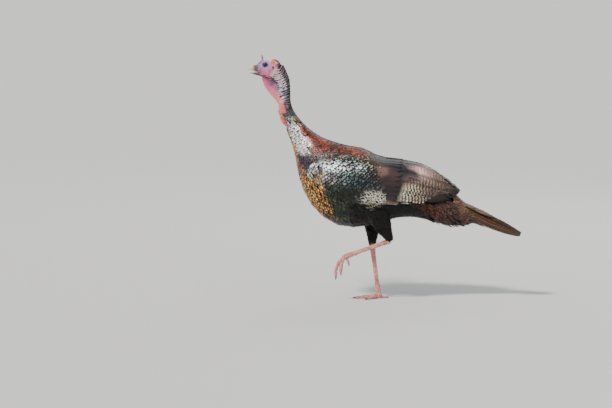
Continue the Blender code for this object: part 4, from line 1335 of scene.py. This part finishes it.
start = np.array((tail["topX"][0], 0, tail["topZ"][0]))
stop = np.array((tail["topX"][-1], 0, tail["topZ"][-1]))
along = unit(stop - start)
outward = np.array((0, 1.0, 0))
upward = np.cross((0, -1, 0), along)
upward = upward * np.sign(upward[2])
place = np.array([side * (i + 0.5) for i in reversed(range(tail["pairs"])) for side in (-1, 1)])[:, None]
level = np.abs(place)
s = quillGrid.rows[None]
runX = start[0] + (stop[0] - start[0]) * s
path = np.stack([runX, 0 * s, np.interp(runX, tail["topX"], tail["topZ"])], -1) * np.ones((len(place), 1, 1))
path = path - along * (level * tail["shorter"] * s)[..., None]
path = path + outward * (place * (tail["rootStep"] + (tail["tipStep"] - tail["rootStep"]) * s))[..., None]
drop = tail["rootDrop"] + (tail["tipDrop"] - tail["rootDrop"]) * s ** 4  # the stack closes up towards its tip
path = path - upward * (level * drop)[..., None]
tilt = -place / tail["pairs"] * tail["roof"] * (1 - 0.55 * s ** 3)
sideDir = outward * np.cos(tilt)[..., None] + upward * np.sin(tilt)[..., None]
upDir = unit(np.cross(along, sideDir))
upDir = upDir * np.sign((upDir * upward).sum(-1))[..., None]
layQuills("tail_feathers", path, sideDir, upDir, np.full(len(place), tail["width"]), np.zeros(len(place)),
          np.zeros(len(place)), tailPaint, np.random.default_rng(tail["seed"]), tailFeather, "tail_feather",
          replaced=["tail"], camber=0.05, tipRound=0.20, thickness=0.0005, rootShare=0.5, waver=0.06)

# coverts over and under the tail's root
coverts = {
    "upper": {"count": 46, "x": (0.215, 0.285), "spread": 0.020, "length": (0.046, 0.074), "width": 0.020,
              "seed": 5, "rise": 0.03, "tint": (0.44, 0.26, 0.18), "fringe": (0.56, 0.44, 0.32), "bars": 0.75},
    "lower": {"count": 36, "x": (0.190, 0.280), "spread": 0.022, "length": (0.040, 0.066), "width": 0.021,
              "seed": 6, "rise": -0.03, "tint": (0.16, 0.085, 0.07), "fringe": (0.30, 0.18, 0.13), "bars": 0.5},
}


def covertPaint(plan):
    def paint(verts, tipGap, chance):
        ground = np.asarray(plan["tint"]) * (0.84 + 0.32 * chance[:, None])
        return ground, np.broadcast_to(plan["fringe"], verts.shape), marksOf(verts, 0.0022, plan["bars"], 0.3)
    return paint


tailTop = Form(*remeshed(*nodeArrays(["rump", "tail"], coat["joinGrow"]), 0.003, 6), rounds=4)
for name, plan in coverts.items():
    rng = np.random.default_rng(plan["seed"])
    count = plan["count"]
    rootX = np.sort(rng.uniform(*plan["x"], count))[::-1]
    rootY = rng.uniform(-1, 1, count) * plan["spread"]
    length = rng.uniform(*plan["length"], count)
    fan = rootY / plan["spread"] * 0.12
    dirs = unit(np.stack([np.full(count, along[0]), fan, np.full(count, along[2])], 1))
    rootZ = 0.295 + plan["rise"] - 0.45 * (rootX - 0.24)
    base = np.array([tailTop.tree.find_nearest(p)[0] for p in zip(rootX, rootY, rootZ)])
    path = base[:, None] + dirs[:, None] * (quillGrid.rows[None] * length[:, None])[..., None]
    n = tailTop.nearest(path.reshape(-1, 3))[2].reshape(path.shape)
    layQuills(f"tail_coverts_{name}", path, unit(np.cross(n, np.gradient(path, axis=1))), n,
              np.full(count, plan["width"]), np.full(count, -0.0010), rng.uniform(0.0022, 0.0042, count),
              covertPaint(plan), rng, tailFeather, "tail_feather", form=tailTop, camber=0.05, tipRound=0.30)


hornKinds = {  # voxel, rounds of smoothing, slot
    "bill_upper": (0.00040, 6, "horn"),
    "bill_lower": (0.00038, 5, "horn"),
    "tongue": (0.00036, 4, "tongue"),
    "spur": (0.00045, 4, "horn"),
    "claw": (0.00045, 4, "claw"),
}
clawTriangles = 9000
hornMaterials = {
    "horn": hornMaterial("billHorn", (0.42, 0.33, 0.26), 0.22, 0.00012, **{
        "Roughness": 0.36, "Coat Weight": 0.25, "Coat Roughness": 0.2}),
    "claw": hornMaterial("clawHorn", (0.12, 0.09, 0.08), 0.35, 0.00015, **{
        "Roughness": 0.42, "Coat Weight": 0.2, "Coat Roughness": 0.25}),
    "tongue": fleshMaterial("tongueFlesh", (0.55, 0.20, 0.22), 0.4, 0.0002, 0.5, **{
        "Roughness": 0.30, "Coat Weight": 0.3, "Subsurface Weight": 0.15, "Subsurface Scale": 0.002}),
}
nostril = {"x": -0.4170, "z": 0.7478, "long": 0.0026, "high": 0.0010, "deep": 0.0009}


def billColour(x, y, z, hole):
    gapeZ = 0.7325 + 0.10 * (x + 0.409)
    tone = mixed((0.40, 0.27, 0.25), (0.80, 0.75, 0.60), ramp(x, -0.4150, -0.4270))
    tone = mixed(tone, (0.88, 0.84, 0.72), ramp(x, -0.430, -0.438) * 0.6)
    tone = mixed(tone, (0.36, 0.27, 0.24), 0.5 * ramp(z, gapeZ + 0.0035, gapeZ + 0.0005))
    # painted shade inside the nostril's dent
    return mixed(tone, (0.10, 0.07, 0.06), ramp(hole, 1.1, 0.7))


def lowerBillColour(x, z):
    tone = mixed((0.36, 0.24, 0.24), (0.82, 0.76, 0.60), ramp(x, -0.415, -0.429))
    # painted shade along the lower bill's top edge, where it lies under the upper bill
    rim = ramp(z, np.interp(x, [-0.434, -0.40], [0.7275, 0.7250]), 0.7285)
    return mixed(tone, (0.16, 0.11, 0.10), 0.75 * rim)


# two colours, noise size and seed of the horn pieces that are only mottled
mottles = {
    "tongue": ((0.78, 0.46, 0.46), (0.62, 0.30, 0.32), 0.003, 9),
    "spur": ((0.34, 0.25, 0.22), (0.60, 0.50, 0.42), 0.004, 8),
    "claw": ((0.20, 0.155, 0.14), (0.36, 0.29, 0.25), 0.005, 8),
}
hornNames = ["bill_upper", "bill_lower", "tongue"]
hornNames += [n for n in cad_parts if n.startswith(("claw_", "spur_"))]
for name in hornNames:
    kind = name if name in hornKinds else name.split("_")[0]
    voxel, rounds, slot = hornKinds[kind]
    v, t = remeshed(*nodeArrays([name], 0.0001), voxel, rounds)
    if kind == "claw" and len(t) > clawTriangles:
        v, t = thinned(v, t, clawTriangles / len(t))
    x, y, z = v.T
    if kind == "bill_upper":
        slant = 0.25 * (nostril["x"] - x)
        hole = np.hypot((x - nostril["x"]) / nostril["long"], (z - nostril["z"] - slant) / nostril["high"])
        hole = np.where(np.abs(y) > 0.0025, hole, 9.0)
        rise = 0.00045 * bell(hole, 1.5, 0.4) - nostril["deep"] * ramp(hole, 1.15, 0.5)
        v = v + vertexNormals(v, t) * rise[:, None]
        tone = billColour(x, y, z, hole)
    elif kind == "bill_lower":
        tone = lowerBillColour(x, z)
    else:
        first, second, size, seed = mottles[kind]
        tone = mixed(first, second, noise(v, size, seed))
    piece = meshObject(name + "_fine", v, t)
    addColours(piece.data, "tint", tone)
    fitted(piece, hornMaterials[slot], slot, name)
print("horn pieces:", len(hornNames))

eye = {"pupil": 0.0032, "iris": 0.0051, "bulge": 0.0004}
g = group("irisRings", ("colour",), pupil=eye["pupil"], iris=eye["iris"])
given = g.start()
off, turn, _ = g.parts(g.attribute("iris"))
rays = g.times(g.step(g.math("SINE", g.times(turn, 46.0)), -0.2, 0.9), 0.35)
insidePupil = g.step(off, g.plus(given["pupil"], 0.0002), g.minus(given["pupil"], 0.0002))
outsideIris = g.step(off, g.minus(given["iris"], 0.0003), g.plus(given["iris"], 0.0003))
outward = g.step(off, given["pupil"], given["iris"])
ringTint = g.blend(outward, rgba((0.20, 0.13, 0.09)), rgba((0.09, 0.06, 0.05)))
ringTint = g.blend(rays, ringTint, rgba((0.28, 0.18, 0.11)))
ringTint = g.blend(insidePupil, ringTint, (0.004, 0.004, 0.005, 1))
g.end(colour=g.blend(outsideIris, ringTint, rgba((0.20, 0.16, 0.18))))
eyeMaterial, w, shader = material("eyeball", **{
    "Roughness": 0.30, "Specular IOR Level": 0.25, "Coat Weight": 0.6, "Coat Roughness": 0.02, "Coat IOR": 1.40})
w.put(shader.inputs["Base Color"], w.use("irisRings")["colour"])
for name, (centre, radius) in eyeSpots.items():
    v, t = ball(radius, 5)
    off = np.hypot(v[:, 0], v[:, 2])
    side = np.sign(centre[1])
    v[:, 1] += side * eye["bulge"] * ramp(off, 0.0048, 0.0) * (v[:, 1] * side > 0)
    piece = meshObject(name + "_fine", v + centre, t)
    addVectors(piece.data, "iris", np.stack([off, np.arctan2(v[:, 2], v[:, 0]), off * 0], 1))
    fitted(piece, eyeMaterial, "eye", name)


def flattened(dirs, normals):
    return unit(dirs - normals * (dirs * normals).sum(1)[:, None])


def oneMark(count, *values):
    return np.zeros((count, 3)) + values


skinForm = Form(*meshArrays(skinPiece.data), rounds=2)
bristles = {
    "tries": 120000,
    "seeds": (15, 17),  # of their own variation and of their places
    "nape": (520, (0.0078, 0.0012, 0.0014)),  # how many, then length, width and lift
    "sides": (260, (0.0042, 0.0007, 0.0009)),
}
rng = np.random.default_rng(bristles["seeds"][0])
places, normals = scattered(skinForm, bristles["tries"], bristles["seeds"][1])
x, y, z = places.T
aside = np.abs(y)
pastEdge = x - backEdge(z)
nape = (pastEdge > -0.006) & (aside < 0.0065) & (z > 0.592) & (z < 0.776)
flank = (pastEdge > -0.026) & (aside > 0.006) & (z > 0.600) & (z < 0.752) & (normals[:, 0] > -0.5)
flank &= away("faceMiddle", x, z) > 0.028
picked, spans = [], []
for ground, kind in ((nape, "nape"), (flank, "sides")):
    number, span = bristles[kind]
    found = np.nonzero(ground)[0][:number]
    picked.append(found)
    spans.append(np.tile(span, (len(found), 1)))
picked, spans = np.concatenate(picked), np.concatenate(spans)
count = len(picked)
roots, norms = places[picked], normals[picked]
overCrown = unit(np.stack([np.full(count, 0.75), roots[:, 1] * 4, np.full(count, -0.6)], 1))
dirs = np.where(roots[:, 2:] > 0.745, overCrown, flowAt(roots, norms))
dark = np.broadcast_to((0.06, 0.05, 0.055), (count, 3))
layVanes("nape_bristles", skinForm, roots, norms, flattened(unit(dirs), norms), spans,
         (dark, dark, oneMark(count, 0.2, 0.0, 0.2)), rng, thighFeather, "neck_skin",
         sink=0.0003, wobble=0.22, thickness=0.00012)

scaleMaterial, w, shader = material("legScale", **{"Roughness": 0.50, "Specular IOR Level": 0.4})
out = w.use("vaneMarks", barPeriod=0.01, barbShade=0.10)
mottled = w.use("skinMottle", tint=out["colour"], flush=rgba((0.48, 0.22, 0.22)), amount=0.22)
w.put(shader.inputs["Base Color"], mottled["colour"])
bumpy(w, shader, mottled["height"], 0.00015, 0.6)
scales = {
    "seed": 23,
    "lift": 0.0006,
    "shank": {"period": 0.0052, "width": 0.0082},
    "toe": {"period": 0.0044, "width": 0.0072},
    "overlap": 1.55,
    # plates stand in rings, at these angles from the front and shares of the width: two broad ones in front,
    # smaller ones round the back
    "plates": ((28, 1.0), (-28, 1.0), (88, 0.72), (-88, 0.72), (140, 0.62), (-140, 0.62), (180, 0.60)),
    "stagger": 8,
}
fronts = {("shank", "left"): (-0.3, 0, 1), ("shank", "right"): (-1, 0, 0),
          ("toe", "left"): (-1, 0, 0.35), ("toe", "right"): (0, 0, 1)}


def shankEnds(side):
    # middles of the heel's and the ankle's end
    v = nodeArrays([f"shank_{side}"])[0]
    level = v[:, 2] if side == "right" else v[:, 0]
    return v[level > level.max() - 0.008].mean(0), v[level < level.min() + 0.010].mean(0)


def sections(v, t, start, axis, period):
    # middles of a limb's cross-sections along its axis
    run = (v - start) @ axis
    ends = np.vstack((t[:, :2], t[:, 1:], t[:, ::2]))
    near, far = run[ends[:, 0]], run[ends[:, 1]]
    for at in np.arange(run.min() + 0.001, run.max() - 0.001, period):
        cut = (near - at) * (far - at) < 0
        if cut.sum() >= 3:
            share = ((at - near[cut]) / (far[cut] - near[cut]))[:, None]
            ring = v[ends[cut, 0]] * (1 - share) + v[ends[cut, 1]] * share
            yield (ring.min(0) + ring.max(0)) / 2
        else:
            yield None


picked = []
for name in [n for n in legNodes if not n.startswith("thigh")]:
    kind = name.split("_")[0]
    side = "left" if "left" in name else "right"
    period, width = scales[kind]["period"], scales[kind]["width"]
    v, t = nodeArrays([name])
    tree = Form(v, t, rounds=1).tree
    hock, ankle = shankEnds(side)
    start, stop = (hock, ankle) if kind == "shank" else (ankle, middleOf(name.replace("toe", "claw")))
    axis = unit(stop - start)
    front = np.array(fronts[kind, side])
    ahead = unit(front - axis * (front @ axis))
    beside = np.cross(axis, ahead)
    for k, centre in enumerate(sections(v, t, start, axis, period)):
        for angle, share in scales["plates"] if centre is not None else ():
            a = math.radians(angle + scales["stagger"] * (1 if k % 2 else -1))
            d = ahead * math.cos(a) + beside * math.sin(a)
            hit, hitNormal, _, _ = tree.ray_cast(centre + d * 0.03, -d, 0.03)
            sole = hit is not None and kind == "toe" and side == "right" and hitNormal[2] < -0.2
            if hit is not None and not sole:
                picked.append((*hit, *d, *axis, period * scales["overlap"], width * share, scales["lift"]))
picked = np.array(picked)
roots, norms, dirs, spans = (picked[:, k:k + 3] for k in (0, 3, 6, 9))
count = len(picked)
rng = np.random.default_rng(scales["seed"])
tone = mixed((0.80, 0.52, 0.49), (0.72, 0.44, 0.43), rng.random(count))
fringe = np.broadcast_to((0.88, 0.70, 0.64), tone.shape)
layVanes("leg_scales", skinForm, roots, norms, flattened(dirs, norms), spans,
         (tone, fringe, oneMark(count, 0.12, 0.0, 0.1)), rng, scaleMaterial, "leg_scale",
         sink=0.0001, wobble=0.02, thickness=0.0003, tipRound=0.12, tintShift=0.06)
print("legs scaled")


stagePlan = {
    "aim": (-0.254, 0.0, 0.307),
    "away": 9.0,
    "elevation": 6.0,
    "lens": 165.0,
    "floorRadius": 90.0,
    "floorSides": 96,
    "floorTint": (0.86, 0.855, 0.84),
    "lampAim": (-0.05, 0, 0.35),
    "sunWay": (0.55, 0.62, -1.0),
    "skyTint": (0.90, 0.92, 0.95),
    "skyStrength": 0.72,
}
sides, radius = stagePlan["floorSides"], stagePlan["floorRadius"]
turns = np.linspace(0, fullTurn, sides, endpoint=False)
floorVerts = np.array([(0, 0, 0)] + [(radius * math.cos(a), radius * math.sin(a), 0) for a in turns])
floor = meshObject("floor", floorVerts, np.array([(0, 1 + k, 1 + (k + 1) % sides) for k in range(sides)]))
floorValues = {"Base Color": rgba(stagePlan["floorTint"]), "Roughness": 0.85}
floor.data.materials.append(material("paleFloor", **floorValues)[0])
floor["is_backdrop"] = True


def placed(name, data, place, way):
    # puts a lamp or camera at a place, looking along way
    ob = bpy.data.objects.new(name, data)
    bpy.context.scene.collection.objects.link(ob)
    ob.location = place
    ob.rotation_euler = Vector(way).to_track_quat("-Z", "Y").to_euler()
    return ob


def softLight(name, place, size, power, tint=(1, 1, 1)):
    lamp = bpy.data.lights.new(name, "AREA")
    lamp.shape = "RECTANGLE"
    lamp.size, lamp.size_y = size
    lamp.energy = power
    lamp.color = tint
    placed(name, lamp, place, Vector(stagePlan["lampAim"]) - Vector(place))


sun = bpy.data.lights.new("key", "SUN")
sun.energy = 3.2
sun.angle = math.radians(9)
sun.color = (1.0, 0.97, 0.92)
placed("key", sun, (0, 0, 0), stagePlan["sunWay"])
softLight("fill", (2.6, -2.8, 1.6), (2.4, 2.0), 16, (0.93, 0.96, 1.0))
softLight("rim", (1.2, 2.6, 2.4), (2.0, 1.4), 20)
world = bpy.data.worlds.new("studio")
bpy.context.scene.world = world
world.use_nodes = True
sky = world.node_tree.nodes["Background"].inputs
sky["Color"].default_value = rgba(stagePlan["skyTint"])
sky["Strength"].default_value = stagePlan["skyStrength"]

lens = bpy.data.cameras.new("view")
lens.lens = stagePlan["lens"]
lens.sensor_width = 36.0
lens.clip_end = 300.0
tilt = math.radians(stagePlan["elevation"])
aim = Vector(stagePlan["aim"])
spot = aim + Vector((0, -math.cos(tilt), math.sin(tilt))) * stagePlan["away"]
bpy.context.scene.camera = placed("view", lens, spot, aim - spot)

low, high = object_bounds()
for label, a, b in (("visual", low, high), ("CAD", cadLow, cadHigh)):
    print(label, "size:", [round(top - base, 4) for base, top in zip(a, b)])
